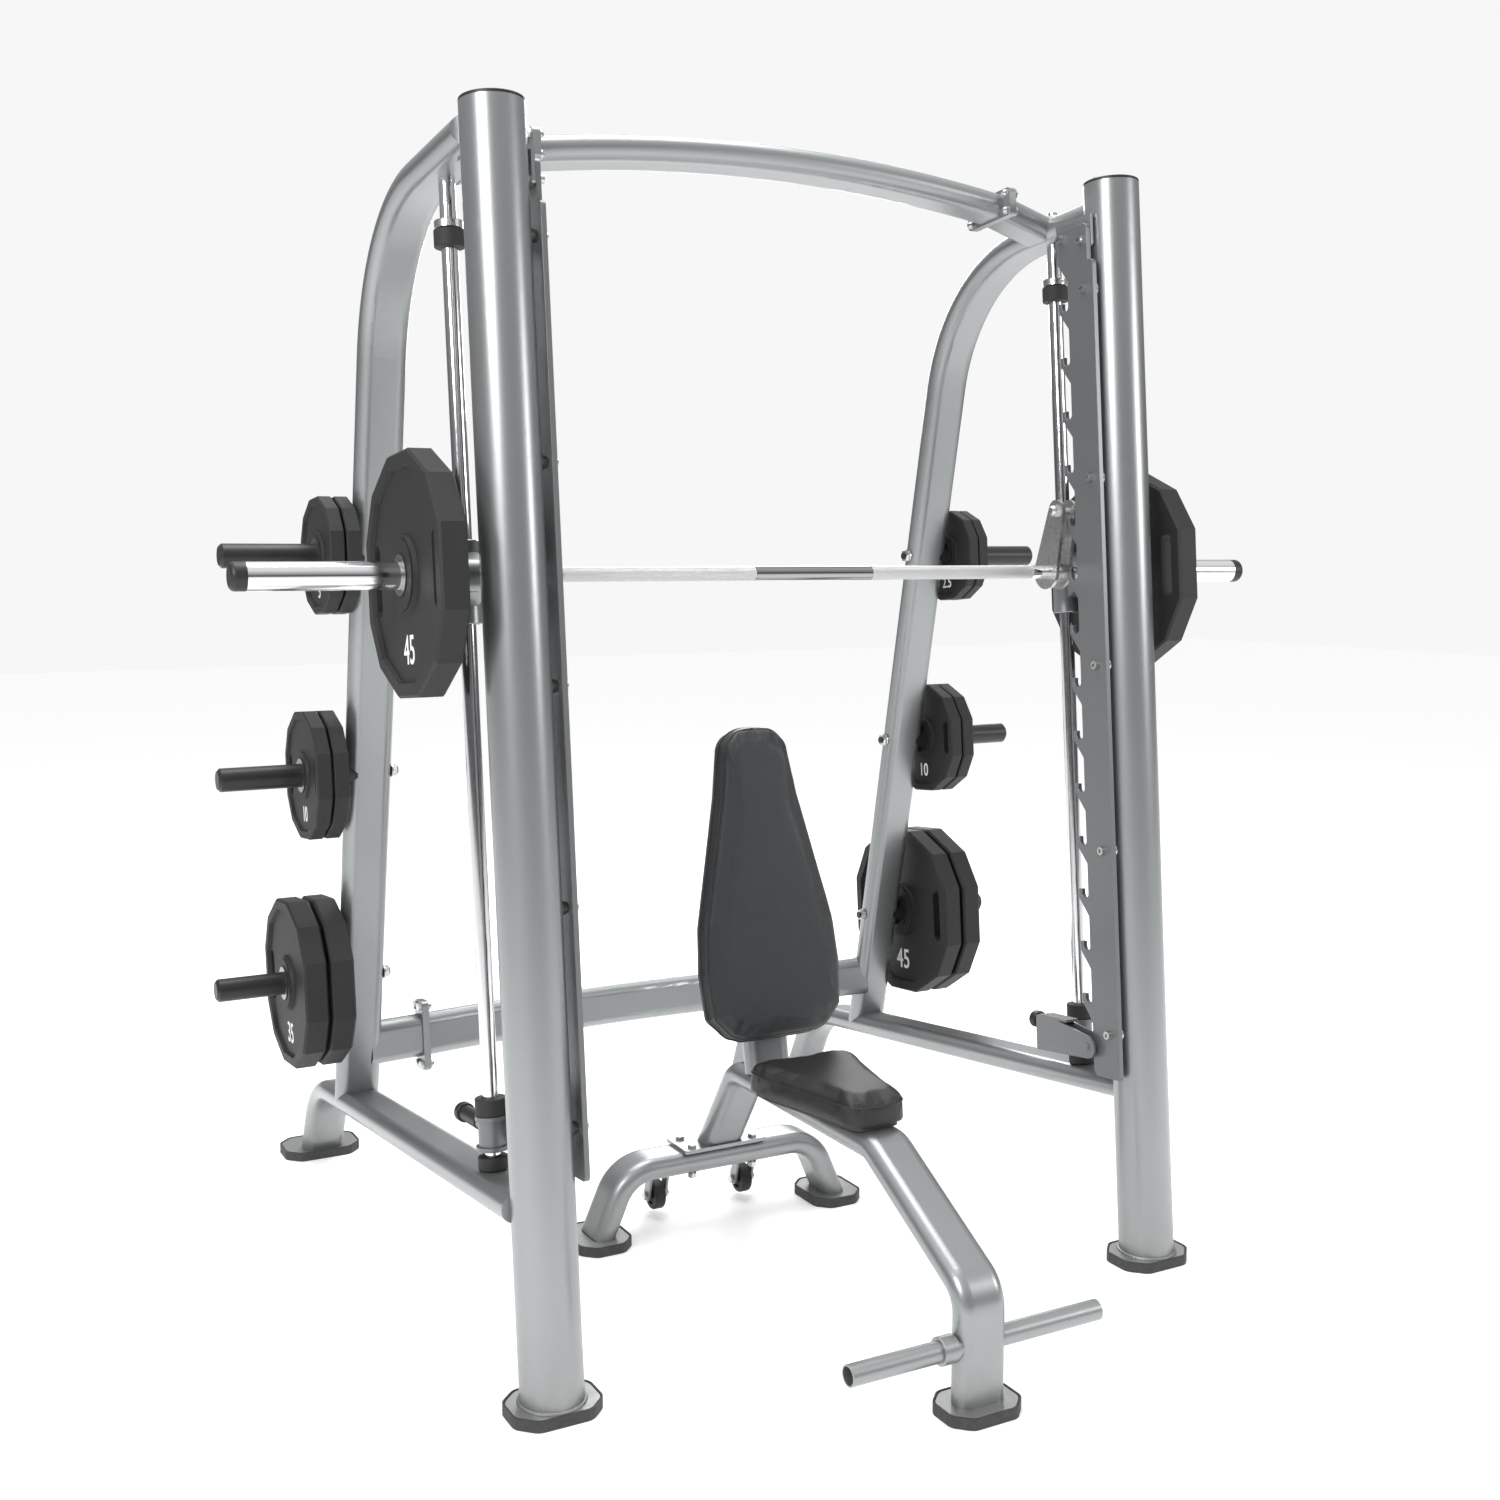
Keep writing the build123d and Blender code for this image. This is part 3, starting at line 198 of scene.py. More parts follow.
class Shader:
    """One material: its nodes, its coordinates and its surface."""

    def __init__(self, name):
        self.material = bpy.data.materials.new(name)
        self.material.use_nodes = True
        self.tree = self.material.node_tree
        self.surface = self.tree.nodes["Principled BSDF"]
        self.place = self.node("ShaderNodeTexCoord", {}, {}).outputs["Object"]
        split = self.node("ShaderNodeSeparateXYZ", {}, {0: self.place})
        self.x, self.y, self.z = (Value(self, s) for s in split.outputs)

    def put(self, socket, item):
        if isinstance(item, Value):
            item = item.socket
        if isinstance(item, bpy.types.NodeSocket):
            self.tree.links.new(item, socket)
        elif isinstance(item, (tuple, list)) and socket.type == "RGBA" and len(item) == 3:
            socket.default_value = (*item, 1.0)
        else:
            socket.default_value = item

    def node(self, kind, choices, inputs):
        node = self.tree.nodes.new(kind)
        for key, item in choices.items():
            setattr(node, key, item)
        for key, item in inputs.items():
            self.put(node.inputs[key], item)
        return node

    def noise(self, scale, detail=2.0, rough=0.5, along=None):
        node = self.node("ShaderNodeTexNoise", {}, {
            "Vector": along or self.place, "Scale": scale, "Detail": detail, "Roughness": rough})
        return Value(self, node.outputs["Fac"])

    def cells(self, scale, feature="F1"):
        node = self.node("ShaderNodeTexVoronoi", {"feature": feature},
                         {"Vector": self.place, "Scale": scale})
        return Value(self, node.outputs["Distance"])

    def stretched(self, sx, sy, sz):
        node = self.node("ShaderNodeMapping", {}, {"Vector": self.place, "Scale": (sx, sy, sz)})
        return node.outputs[0]

    def radius(self, y, z):
        """Distance from a line along X through (y, z)."""
        dy = self.y - y
        dz = self.z - z
        return (dy * dy + dz * dz).math("SQRT")

    def mix(self, mask, a, b):
        node = self.node("ShaderNodeMix", {"data_type": "RGBA"}, {0: mask, 6: a, 7: b})
        return node.outputs[2]

    def bump(self, height, depth, normal=None):
        inputs = {"Height": height, "Distance": depth, "Strength": 1.0}
        if normal is not None:
            inputs["Normal"] = normal
        return self.node("ShaderNodeBump", {}, inputs).outputs[0]

    def set(self, **inputs):
        for key, item in inputs.items():
            self.put(self.surface.inputs[key.replace("_", " ")], item)
        return self.material


def shade(tone, amount):
    return tuple(min(1.0, c * amount) for c in tone)


def paint(name, tone, metal=0.80, gloss=0.34):
    """Metallic powder coat: fine flake, orange peel, broad tone drift and dust at the floor."""
    s = Shader(name)
    flake = s.cells(1100.0)
    drift = s.noise(3.2, 3.0)
    scuff = s.noise(38.0, 6.0, 0.65).above(0.66, 0.05)
    dust = (1 - s.z.above(0.12, 0.12)) * s.noise(60.0, 4.0)
    base = s.mix(flake * 0.55, shade(tone, 1.10), shade(tone, 0.80))
    base = s.mix(drift * 0.30, base, shade(tone, 0.86))
    base = s.mix(dust * 0.35, base, (0.30, 0.29, 0.27))
    peel = s.bump(s.noise(230.0, 2.0), 0.00010)
    grit = s.bump(flake, 0.00003, peel)
    rough = drift * 0.07 + scuff * 0.10 + dust * 0.25 + (gloss - 0.03)
    return s.set(Base_Color=base, Roughness=rough, Metallic=metal, Normal=grit,
                 Coat_Weight=0.25, Coat_Roughness=0.18)


def chrome(name, tone=(0.80, 0.80, 0.81), gloss=0.09):
    """Bright plating with wipe marks and faint grinding lines round the rod."""
    s = Shader(name)
    smear = s.noise(14.0, 5.0, 0.6)
    lines = s.noise(1.0, 2.0, 0.5, s.stretched(8.0, 8.0, 2400.0))
    base = s.mix(smear * 0.5, tone, shade(tone, 0.82))
    rough = smear * 0.10 + lines * 0.04 + (gloss - 0.05)
    return s.set(Base_Color=base, Roughness=rough, Metallic=1.0, Normal=s.bump(lines, 0.00001))


def knurled_bar(name):
    """Chromed bar: diamond knurl on both hand zones and a smooth, darker middle."""
    s = Shader(name)
    lo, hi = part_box("bar_shaft")
    cy, cz = (lo.y + hi.y) / 2, (lo.z + hi.z) / 2
    turn = (s.y - cy).math("ARCTAN2", s.z - cz) * SHAFT_RADIUS
    pitch = 2 * math.pi / KNURL_PITCH
    one = ((s.x + turn) * pitch).math("SINE")
    two = ((s.x - turn) * pitch).math("SINE")
    away = abs(s.x)
    edge = 0.0008
    middle = 1 - away.above(KNURL_FROM, edge)
    zone = away.above(KNURL_FROM, edge) * (1 - away.above(KNURL_TO, edge))
    ridge = (one * two * 0.5 + 0.5) * zone
    smear = s.noise(16.0, 5.0)
    base = s.mix(smear * 0.5, (0.80, 0.80, 0.81), (0.64, 0.64, 0.65))
    base = s.mix(zone * 0.9, base, (0.56, 0.56, 0.56))
    base = s.mix(middle * 0.75, base, (0.17, 0.17, 0.18))
    rough = smear * 0.08 + zone * 0.26 + 0.07
    return s.set(Base_Color=base, Roughness=rough, Metallic=1.0, Normal=s.bump(ridge, 0.0004))


def zinc(name, tone=(0.60, 0.60, 0.59)):
    """Zinc-plated steel: crystal mottling and fine turning marks."""
    s = Shader(name)
    spangle = s.cells(420.0)
    wear = s.noise(90.0, 5.0, 0.6)
    base = s.mix(spangle * 0.5, tone, shade(tone, 0.72))
    base = s.mix(wear.above(0.62, 0.06) * 0.5, base, (0.34, 0.33, 0.31))
    rough = spangle * 0.12 + wear * 0.14 + 0.16
    return s.set(Base_Color=base, Roughness=rough, Metallic=1.0, Normal=s.bump(wear, 0.00006))


def plate_rubber(name, node):
    """Moulded rubber over iron: pebble grain, rim scuffs, and a steel ring pressed in the hub."""
    s = Shader(name)
    lo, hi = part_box(node)
    far = s.radius((lo.y + hi.y) / 2, (lo.z + hi.z) / 2)
    reach = (hi.y - lo.y) / 2
    ring = 1 - far.above(HUB_RING_RADIUS, 0.0005)
    tone = tuple(settings().plates.rubber)
    grain = s.cells(620.0)
    cloud = s.noise(9.0, 5.0, 0.6)
    rim = far.above(reach * 0.95, reach * 0.04) * s.noise(180.0, 6.0, 0.7).above(0.66, 0.08)
    base = s.mix(cloud * 0.5, tone, shade(tone, 1.7))
    base = s.mix(rim * 0.35, base, (0.030, 0.030, 0.030))
    base = s.mix(ring, base, (0.30, 0.30, 0.30))
    rough = 0.52 + cloud * 0.10 + grain * 0.08 - ring * 0.28
    return s.set(Base_Color=base, Roughness=rough, Metallic=ring,
                 Normal=s.bump(grain + s.noise(160.0, 3.0) * 0.6, 0.00014))


def moulded(name, tone, gloss=0.42, grain_scale=900.0):
    """Moulded plastic or rubber with a fine spark grain and handling marks."""
    s = Shader(name)
    grain = s.cells(grain_scale)
    marks = s.noise(22.0, 6.0, 0.65)
    dust = (1 - s.z.above(0.03, 0.03)) * s.noise(110.0, 4.0)
    base = s.mix(marks * 0.6, tone, shade(tone, 2.1))
    base = s.mix(dust * 0.30, base, (0.17, 0.16, 0.15))
    rough = marks * 0.16 + grain * 0.10 + (gloss - 0.08)
    return s.set(Base_Color=base, Roughness=rough, Normal=s.bump(grain, 0.00010))


def vinyl(name, tone):
    """Calf-grain vinyl: creased cells with painted shade in their valleys, over soft pull marks."""
    s = Shader(name)
    warped = s.node("ShaderNodeVectorMath", {"operation": "MULTIPLY_ADD"}, {
        0: s.node("ShaderNodeTexNoise", {}, {"Vector": s.place, "Scale": 70.0}).outputs["Color"],
        1: (0.004, 0.004, 0.004), 2: s.place}).outputs[0]
    crease = Value(s, s.node("ShaderNodeTexVoronoi", {"feature": "DISTANCE_TO_EDGE"},
                             {"Vector": warped, "Scale": 430.0}).outputs["Distance"])
    shaded_valley = 1 - crease.above(0.07, 0.07)
    pull = s.noise(11.0, 4.0, 0.55)
    fine = s.noise(1400.0, 2.0)
    # painted shade: the colour is darkened in the grain's crease valleys, which are also made
    # rougher
    base = s.mix(shaded_valley * 0.6, tone, shade(tone, 0.45))
    base = s.mix(pull * 0.35, base, shade(tone, 1.7))
    rough = pull * 0.12 + shaded_valley * 0.12 + 0.32
    skin = s.bump(crease.above(0.10, 0.10) + fine * 0.15, 0.00022)
    return s.set(Base_Color=base, Roughness=rough, Coat_Weight=0.10, Coat_Roughness=0.35,
                 Normal=s.bump(pull, 0.0012, skin))


def board(name):
    """Black-stained plywood: long grain and ply lines."""
    s = Shader(name)
    grain = s.noise(1.0, 5.0, 0.6, s.stretched(420.0, 30.0, 420.0))
    plies = (s.z * (2 * math.pi / PLY)).math("SINE").above(0.0, 0.4)
    base = s.mix(grain, (0.016, 0.014, 0.012), (0.055, 0.045, 0.036))
    base = s.mix(plies * 0.18, base, (0.10, 0.085, 0.065))
    return s.set(Base_Color=base, Roughness=grain * 0.2 + 0.55, Normal=s.bump(grain, 0.0002))


def print_paint(name, tone):
    """Pad-printed digits, slightly rubbed."""
    s = Shader(name)
    rub = s.noise(240.0, 6.0, 0.7)
    base = s.mix(rub.above(0.60, 0.08) * 0.45, tone, (0.40, 0.40, 0.39))
    return s.set(Base_Color=base, Roughness=rub * 0.2 + 0.40, Normal=s.bump(rub, 0.00006))


# ---- mesh helpers ---------------------------------------------------------------------------
def deselect():
    if bpy.context.object and bpy.context.object.mode != "OBJECT":
        bpy.ops.object.mode_set(mode="OBJECT")
    bpy.ops.object.select_all(action="DESELECT")


def pick(obj):
    deselect()
    obj.select_set(True)
    bpy.context.view_layer.objects.active = obj


def choose(obj, test, kind="VERT"):
    """In edit mode, selects the vertices or edges whose centre passes the test."""
    bpy.ops.mesh.select_mode(type=kind)
    bpy.ops.mesh.select_all(action="DESELECT")
    bpy.ops.object.mode_set(mode="OBJECT")
    mesh = obj.data
    if kind == "VERT":
        for v in mesh.vertices:
            v.select = test(v.co)
    else:
        for e in mesh.edges:
            a, b = (mesh.vertices[i].co for i in e.vertices)
            e.select = test(a, b)
    bpy.ops.object.mode_set(mode="EDIT")


def bake_place(obj):
    pick(obj)
    bpy.ops.object.transform_apply(location=True, rotation=True, scale=True)


def apply_all(obj):
    pick(obj)
    for m in list(obj.modifiers):
        bpy.ops.object.modifier_apply(modifier=m.name)


def dress(obj, material, body):
    obj.data.materials.clear()
    obj.data.materials.append(material)
    pick(obj)
    bpy.ops.object.shade_smooth_by_angle(angle=math.radians(40))
    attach(obj, body)


def pad_blank(name, wide, deep, thick, rows, corner, soft):
    """A pad laid flat at the origin: its rows give (distance along, half width)."""
    deselect()
    bpy.ops.mesh.primitive_cube_add(size=1.0, location=(0, deep / 2, 0), scale=(wide, deep, thick))
    pad = bpy.context.object
    pad.name = name
    bake_place(pad)
    bpy.ops.object.mode_set(mode="EDIT")
    for y, _ in rows[1:-1]:
        bpy.ops.mesh.select_all(action="SELECT")
        bpy.ops.mesh.bisect(plane_co=(0, y, 0), plane_no=(0, 1, 0))
    for y, half in rows:
        choose(pad, lambda co, y=y: abs(co.y - y) < 1e-4)
        bpy.ops.transform.resize(value=(half / (wide / 2), 1, 1), center_override=(0, y, 0))
    ends = (rows[0][0], rows[-1][0])
    for end, size in zip(ends, corner):
        choose(pad, lambda a, b, e=end: abs(a.y - e) < 1e-4 and abs(b.y - e) < 1e-4
               and abs(a.z - b.z) > thick / 2, "EDGE")
        bpy.ops.mesh.bevel(offset=size, segments=6, affect="EDGES")
    choose(pad, lambda a, b: min(a.z, b.z) > thick / 2 - 1e-4, "EDGE")
    bpy.ops.mesh.region_to_loop()
    bpy.ops.mesh.bevel(offset=soft, segments=3, affect="EDGES")
    bpy.ops.mesh.select_all(action="SELECT")
    bpy.ops.mesh.normals_make_consistent(inside=False)
    bpy.ops.object.mode_set(mode="OBJECT")
    return pad


def swell(pad, voxel, crown, thick):
    """Fills the pad by cloth pressure with its underside held, and caps how far it moves."""
    pick(pad)
    pad.data.remesh_voxel_size = voxel
    bpy.ops.object.voxel_remesh()
    start = [v.co.copy() for v in pad.data.vertices]
    held = pad.vertex_groups.new(name="held")
    held.add([i for i, co in enumerate(start) if co.z < -thick / 2 + 0.004], 1.0, "REPLACE")
    cloth = pad.modifiers.new("Filling", "CLOTH")
    cloth.settings.use_pressure = True
    cloth.settings.uniform_pressure_force = 4.0
    cloth.settings.effector_weights.gravity = 0.0
    cloth.settings.vertex_group_mass = "held"
    cloth.settings.quality = 4
    cloth.settings.tension_stiffness = 12.0
    cloth.settings.compression_stiffness = 12.0
    cloth.settings.bending_stiffness = 2.0
    cloth.collision_settings.use_collision = False
    for number in range(1, CLOTH_FRAMES + 1):
        bpy.context.scene.frame_set(number)
    apply_all(pad)
    bpy.context.scene.frame_set(1)
    deep = max(co.y for co in start)
    for v, co in zip(pad.data.vertices, start):
        move = v.co - co
        if move.length > crown:
            v.co = co + move * (crown / move.length)
        if co.z > 0:
            lift = math.sin(math.pi * min(1, max(0, co.y / deep))) ** 0.5
            v.co.z += crown * 0.35 * lift * max(0.0, 1 - (co.x / 0.16) ** 2)
    smooth = pad.modifiers.new("Even", "SMOOTH")
    smooth.factor = 0.5
    smooth.iterations = 3
    finer = pad.modifiers.new("Finer", "SUBSURF")
    finer.levels = finer.render_levels = 1
    apply_all(pad)


def welt(name, rows, corner, height, radius, pad):
    """Sewn welt round a pad: a loop laid on its side wall, then given thickness."""
    wide = 2 * max(half for _, half in rows)
    loop = pad_blank(name, wide, rows[-1][0], 0.01, rows, corner, 0.001)
    bpy.ops.object.mode_set(mode="EDIT")
    bpy.ops.mesh.select_all(action="SELECT")
    bpy.ops.mesh.bisect(plane_co=(0, 0, 0), plane_no=(0, 0, 1), clear_inner=True, clear_outer=True)
    bpy.ops.mesh.select_all(action="SELECT")
    bpy.ops.mesh.subdivide(number_cuts=5)
    bpy.ops.transform.translate(value=(0, 0, height))
    bpy.ops.object.mode_set(mode="OBJECT")
    wrap = loop.modifiers.new("On pad", "SHRINKWRAP")
    wrap.target = pad
    wrap.wrap_method = "NEAREST_SURFACEPOINT"
    apply_all(loop)
    bpy.ops.object.convert(target="CURVE")
    loop = bpy.context.object
    loop.data.bevel_depth = radius
    loop.data.bevel_resolution = 2
    bpy.ops.object.convert(target="MESH")
    return bpy.context.object


# ---- pieces ---------------------------------------------------------------------------------
class Step(bpy.types.Operator):
    """Base of every step: builds its piece from the scene's settings."""

    bl_options = {"REGISTER"}

    def execute(self, context):
        self.make(settings())
        return {"FINISHED"}


class SMITH_OT_seat_pad(Step):
    """Seat cushion of grained vinyl over foam, narrow at the nose, with its sewn welt"""

    bl_idname = "smith.seat_pad"
    bl_label = "Seat pad"

    def make(self, s):
        lo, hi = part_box("seat_pad")
        inset = s.pads.shrink
        deep = hi.y - lo.y - 2 * inset
        thick = hi.z - lo.z - inset
        half = (hi.x - lo.x) / 2 - inset
        rows = [(0.0, s.pads.seat_nose - inset), (deep - 0.066, half * 0.985), (deep, half)]
        corner = (s.pads.seat_corner, s.pads.seat_corner)
        pad = pad_blank("seat_cushion", 2 * half, deep, thick, rows, corner, 0.012)
        swell(pad, 0.005, s.pads.crown, thick)
        seam = welt("seat_welt", rows, corner, thick * 0.24, s.pads.welt, pad)
        place = Matrix.Translation(((lo.x + hi.x) / 2, lo.y + inset, lo.z + thick / 2))
        skin = vinyl("seat_vinyl", tuple(s.finish.vinyl_seat))
        for piece in (pad, seam):
            piece.matrix_world = place
            bake_place(piece)
            dress(piece, skin, "bench")
        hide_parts("seat_pad")


class SMITH_OT_back_pad(Step):
    """Back cushion of grained vinyl over foam, wide at the waist, with its sewn welts"""

    bl_idname = "smith.back_pad"
    bl_label = "Back pad"

    def make(self, s):
        lo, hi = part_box("back_pad")
        inset = s.pads.shrink
        tilt = s.pads.back_tilt
        long = s.pads.back_length
        half = (hi.x - lo.x) / 2
        deep = long - 2 * inset
        thick = s.pads.back_depth - inset
        shape = [(0.0, 0.68), (0.053, 0.958), (0.148, 1.0), (0.243, 0.958), (0.508, 0.594),
                 (long, 0.46)]
        rows = [(y * deep / long, half * k - inset) for y, k in shape]
        corner = (0.028, 0.052)
        pad = pad_blank("back_cushion", 2 * (half - inset), deep, thick, rows, corner, 0.012)
        swell(pad, 0.006, s.pads.crown, thick)
        seams = [welt("back_welt_front", rows, corner, thick * 0.26, s.pads.welt, pad),
                 welt("back_welt_rear", rows, corner, -thick * 0.30, s.pads.welt, pad)]
        along = Vector((0, math.sin(tilt), math.cos(tilt)))
        out = Vector((0, -math.cos(tilt), math.sin(tilt)))
        base = Vector(((lo.x + hi.x) / 2, hi.y - long * math.sin(tilt), lo.z))
        base += along * inset + out * (thick / 2)
        turn = Matrix((Vector((1, 0, 0)), along, out)).transposed().to_4x4()
        skin = vinyl("back_vinyl", tuple(s.finish.vinyl_back))
        for piece in [pad] + seams:
            piece.matrix_world = Matrix.Translation(base) @ turn
            bake_place(piece)
            dress(piece, skin, "bench")
        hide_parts("back_pad")


# node: (digits, radius, rim thickness, hub thickness)
PLATES = {
    "bar_plate_left": ("45", 0.213, 0.050, 0.059),
    "bar_plate_right": ("45", 0.213, 0.050, 0.059),
    "stored_5s_left": ("5", 0.119, 0.030, 0.034),
    "stored_10s_left": ("10", 0.136, 0.032, 0.036),
    "stored_35s_left": ("35", 0.183, 0.050, 0.058),
    "stored_2p5s_right": ("2.5", 0.109, 0.025, 0.028),
    "stored_10s_right": ("10", 0.136, 0.032, 0.036),
    "stored_45s_right": ("45", 0.213, 0.050, 0.059),
}


class SMITH_OT_plate_digits(Step):
    """Raised digits on the two outer faces of each plate or pair of plates"""

    bl_idname = "smith.plate_digits"
    bl_label = "Plate digits"

    def make(self, s):
        ink = print_paint("digit_paint", tuple(s.plates.digits))
        for node, (text, radius, rim, hub) in PLATES.items():
            lo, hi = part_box(node)
            middle = Vector((0, (lo.y + hi.y) / 2, (lo.z + hi.z) / 2))
            web = (hub - rim) / 2 + rim * RECESS
            made = []
            for facing in (-1, 1):
                face_x = lo.x + web if facing < 0 else hi.x - web
                deselect()
                bpy.ops.object.text_add()
                label = bpy.context.object
                label.data.body = text
                label.data.align_x = "CENTER"
                label.data.align_y = "CENTER"
                label.data.size = s.plates.digit_height * radius * DIGIT_SIZE
                label.data.offset = 0.010 * radius * s.plates.digit_height
                label.data.extrude = s.plates.relief
                label.data.resolution_u = 6
                out = Vector((facing, 0, 0))
                across = LEAN_UP.cross(out) * DIGIT_WIDTH
                spot = middle - LEAN_UP * (radius * s.plates.digit_drop)
                spot.x = face_x
                turn = Matrix((across, LEAN_UP, out)).transposed().to_4x4()
                bpy.ops.object.convert(target="MESH")
                label = bpy.context.object
                label.matrix_world = Matrix.Translation(spot) @ turn
                bake_place(label)
                bpy.ops.object.mode_set(mode="EDIT")
                bpy.ops.mesh.select_all(action="SELECT")
                bpy.ops.mesh.remove_doubles(threshold=1e-5)
                bpy.ops.mesh.normals_make_consistent(inside=False)
                bpy.ops.object.mode_set(mode="OBJECT")
                made.append(label)
            deselect()
            for label in made:
                label.select_set(True)
            bpy.context.view_layer.objects.active = made[0]
            bpy.ops.object.join()
            piece = bpy.context.object
            piece.name = node + "_digits"
            dress(piece, ink, node)


class SMITH_OT_welds(Step):
    """Rippled weld beads where the posts meet their foot plates"""

    bl_idname = "smith.welds"
    bl_label = "Weld beads"

    def make(self, s):
        skin = paint("weld_paint", tuple(s.finish.silver))
        for side in ("left", "right"):
            lo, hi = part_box("front_post_" + side)
            foot = lo.z
            centre = Vector(((lo.x + hi.x) / 2, lo.y + 0.0572, foot + 0.0005))
            deselect()
            bpy.ops.mesh.primitive_torus_add(
                major_radius=WELD_RADIUS, minor_radius=s.finish.weld, major_segments=WELD_STEPS,
                minor_segments=8, location=centre)
            bead = bpy.context.object
            bead.name = "post_foot_weld_" + side
            bake_place(bead)
            bpy.ops.object.mode_set(mode="EDIT")

            def crest(co):
                turn = math.atan2(co.y - centre.y, co.x - centre.x) / (2 * math.pi) * WELD_STEPS
                return round(turn) % 3 == 0

            choose(bead, crest)
            bpy.ops.transform.shrink_fatten(value=s.finish.weld * 0.22)
            choose(bead, lambda co: co.z < foot)
            bpy.ops.transform.resize(value=(1, 1, 0.15), center_override=(centre.x, centre.y, foot))
            bpy.ops.object.mode_set(mode="OBJECT")
            dress(bead, skin, "frame")


class SMITH_OT_finishes(Step):
    """Finish of every machined, painted, plated and moulded part"""

    bl_idname = "smith.finishes"
    bl_label = "Finishes"

    def make(self, s):
        f = s.finish
        plain = {
            "silver_paint": paint("silver_coat", tuple(f.silver)),
            "rack_paint": paint("rack_coat", tuple(f.rack), 0.55, 0.40),
            "chrome": chrome("bright_plating"),
            "steel": zinc("zinc_plating"),
            "black_plastic": moulded("black_plastic", tuple(f.plastic)),
            "peg_black": moulded("peg_black", tuple(f.plastic), 0.36, 700.0),
            "black_rubber": moulded("boot_rubber", (0.013, 0.013, 0.013), 0.62, 500.0),
            "board": board("stained_ply"),
        }
        own = {"bar_shaft": knurled_bar("knurled_chrome")}
        for node in PLATES:
            own[node] = plate_rubber(node + "_rubber", node)
        for part in frame["record"]["subparts"]:
            node = part["node"]
            if node in ("seat_pad", "back_pad"):
                continue
            material = own.get(node) or plain[part["material_slot"]]
            obj = frame["nodes"][node]
            if obj.material_slots:
                for holder in obj.material_slots:
                    holder.material = material
            else:
                obj.data.materials.append(material)


def studio_air(seen_tone):
    """Air that is plain where it is seen, and darker towards the floor where it is mirrored."""
    world = bpy.data.worlds.new("studio_air")
    world.use_nodes = True
    tree = world.node_tree
    air = tree.nodes["Background"]
    ray = tree.nodes.new("ShaderNodeLightPath")
    seen = tree.nodes.new("ShaderNodeMix")
    seen.data_type = "RGBA"
    where = tree.nodes.new("ShaderNodeTexCoord")
    height = tree.nodes.new("ShaderNodeSeparateXYZ")
    ramp = tree.nodes.new("ShaderNodeValToRGB")
    low, high = ramp.color_ramp.elements
    low.position = 0.05
    low.color = (0.10, 0.10, 0.105, 1)
    high.position = 0.75
    high.color = (0.95, 0.95, 0.96, 1)
    tree.links.new(where.outputs["Generated"], height.inputs[0])
    tree.links.new(height.outputs["Z"], ramp.inputs[0])
    tree.links.new(ray.outputs["Is Camera Ray"], seen.inputs[0])
    tree.links.new(ramp.outputs[0], seen.inputs[6])
    seen.inputs[7].default_value = (*seen_tone, 1.0)
    tree.links.new(seen.outputs[2], air.inputs[0])
    return world


# name: (place, size, power)
LAMPS = {
    "key": ((-4.2, -2.6, 3.6), 1.6, 170.0),
    "fill": ((3.8, -3.6, 2.6), 1.4, 65.0),
    "top": ((0.0, 0.4, 5.2), 3.0, 150.0),
    "rim": ((2.6, 4.2, 3.2), 2.0, 110.0),
}
CAMERA_PLACE = (-1.715, -3.208, 1.480)
CAMERA_TURN = (math.radians(90 - 6.53), 0, math.radians(-28.57))


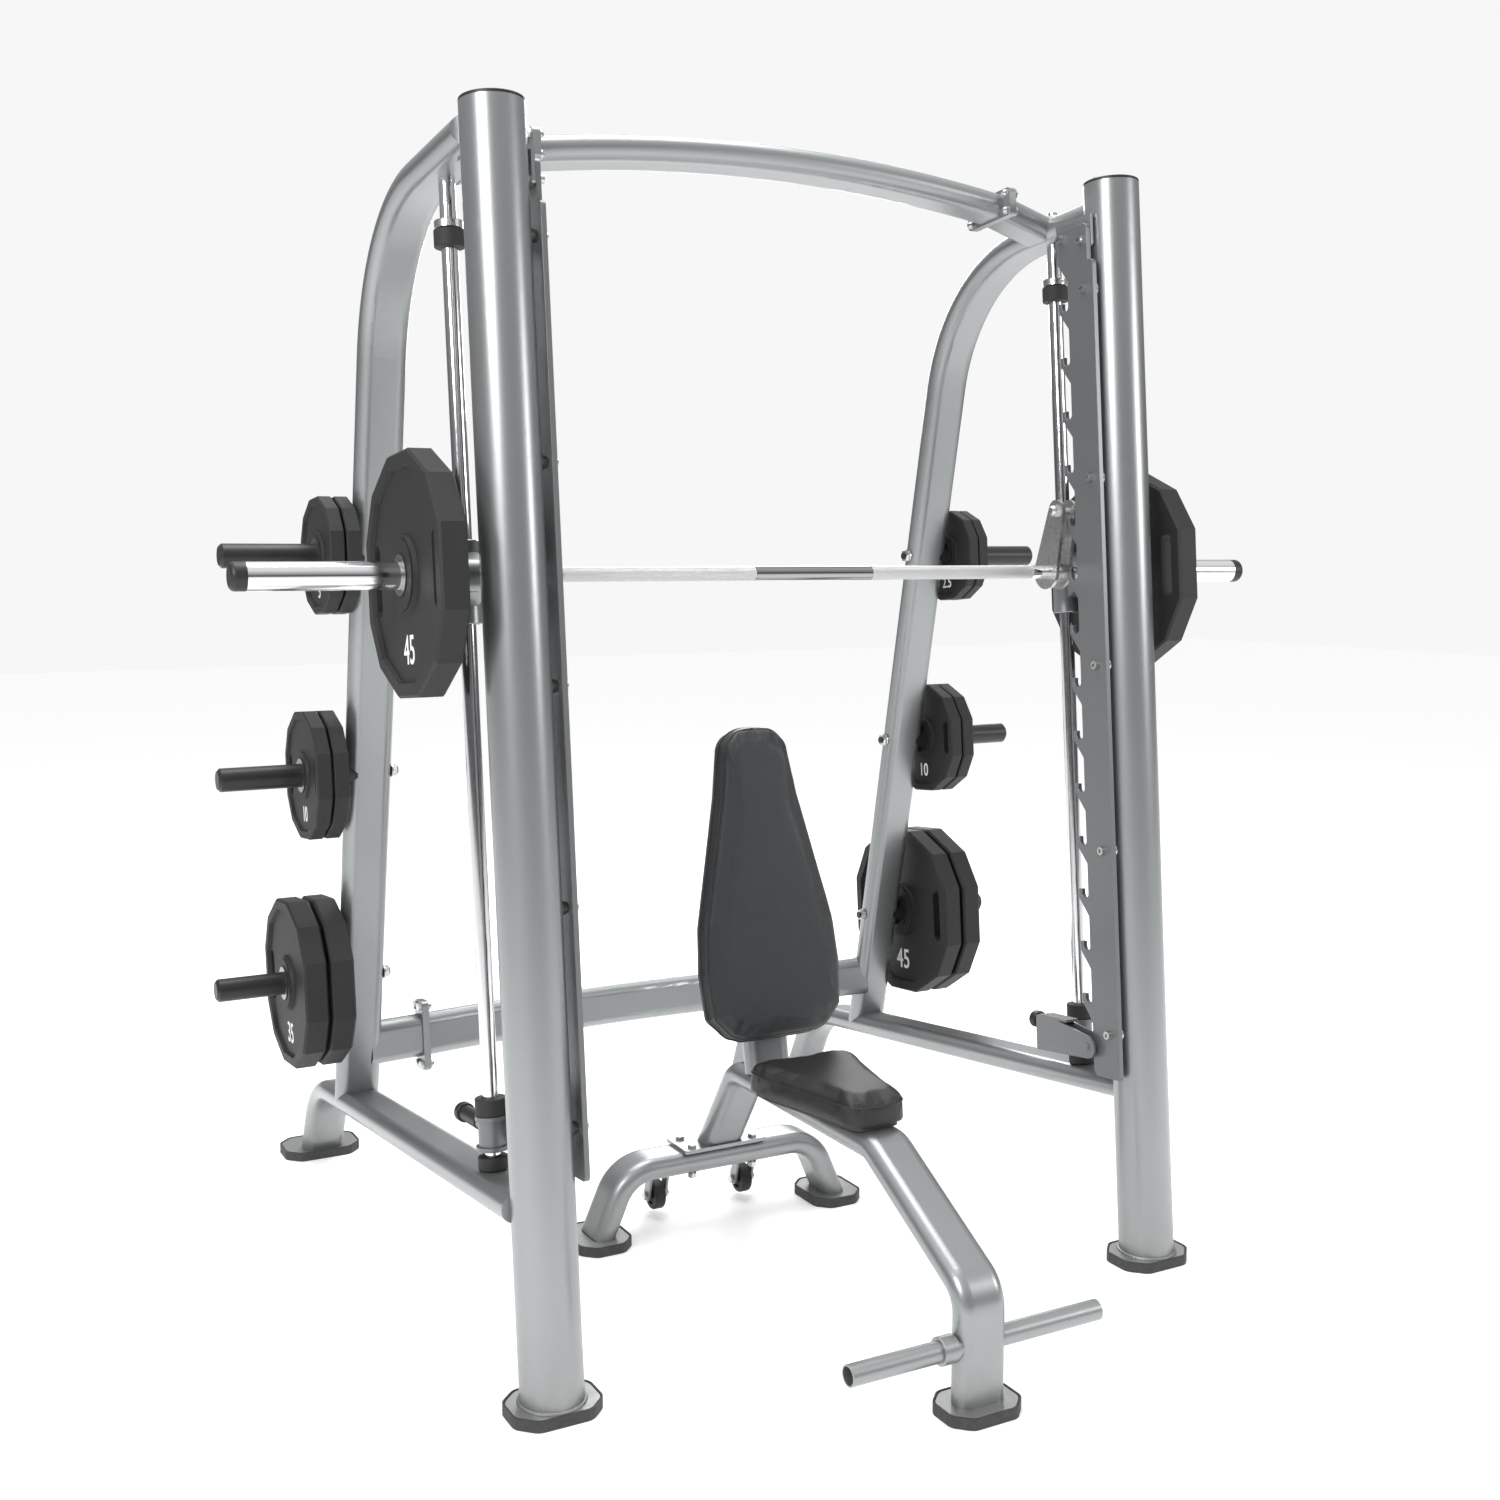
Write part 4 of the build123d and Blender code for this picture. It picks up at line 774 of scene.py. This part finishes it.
class SMITH_OT_stage(Step):
    """Pale floor, soft lights and the camera"""

    bl_idname = "smith.stage"
    bl_label = "Stage"

    def make(self, s):
        deselect()
        bpy.ops.mesh.primitive_plane_add(size=s.stage.floor_size, location=(0, 0, cad_lo.z))
        floor = bpy.context.object
        floor.name = "floor"
        sweep = Shader("floor_paint")
        tone = tuple(s.stage.floor_tone)
        base = sweep.mix(sweep.noise(2.0) * 0.2, tone, shade(tone, 1.04))
        floor.data.materials.append(sweep.set(
            Base_Color=base, Roughness=0.7, Emission_Color=tone, Emission_Strength=s.stage.glow))
        bpy.context.scene.world = studio_air(tuple(s.stage.air))
        bpy.context.scene.view_settings.view_transform = "Standard"
        aim = Vector((0, -0.1, 1.1))
        for name, (spot, size, power) in LAMPS.items():
            deselect()
            bpy.ops.object.light_add(type="AREA", location=spot)
            lamp = bpy.context.object
            lamp.name = name + "_light"
            lamp.data.size = size
            lamp.data.energy = power
            lamp.rotation_euler = (aim - Vector(spot)).to_track_quat("-Z", "Y").to_euler()
        bpy.ops.object.camera_add(
            location=CAMERA_PLACE, rotation=CAMERA_TURN)
        camera = bpy.context.object
        camera.name = "camera"
        camera.data.sensor_width = 36.0
        camera.data.lens = s.stage.lens
        camera.data.clip_end = 100.0
        bpy.context.scene.camera = camera


STEPS = (SMITH_OT_seat_pad, SMITH_OT_back_pad, SMITH_OT_plate_digits, SMITH_OT_welds,
         SMITH_OT_finishes, SMITH_OT_stage)


class SMITH_PT_panel(bpy.types.Panel):
    """Steps and sizes of the smith machine"""

    bl_label = "Smith machine"
    bl_idname = "SMITH_PT_panel"
    bl_space_type = "VIEW_3D"
    bl_region_type = "UI"
    bl_category = "Smith machine"

    def draw(self, context):
        for step in STEPS:
            self.layout.operator(step.bl_idname)
        chosen = context.scene.smith
        for group in (chosen.pads, chosen.plates, chosen.finish, chosen.stage):
            box = self.layout.box()
            for key in group.__annotations__:
                box.prop(group, key)


CLASSES = (SMITH_PG_pads, SMITH_PG_plates, SMITH_PG_finish, SMITH_PG_stage, SMITH_PG_all,
           *STEPS, SMITH_PT_panel)


def register():
    for cls in CLASSES:
        bpy.utils.register_class(cls)
    bpy.types.Scene.smith = PointerProperty(type=SMITH_PG_all)


def unregister():
    del bpy.types.Scene.smith
    for cls in reversed(CLASSES):
        bpy.utils.unregister_class(cls)


def main():
    register()
    for step in STEPS:
        group, name = step.bl_idname.split(".")
        result = getattr(getattr(bpy.ops, group), name)()
        if result != {"FINISHED"}:
            raise RuntimeError(step.bl_label + " did not finish")


if __name__ == "__main__":
    main()
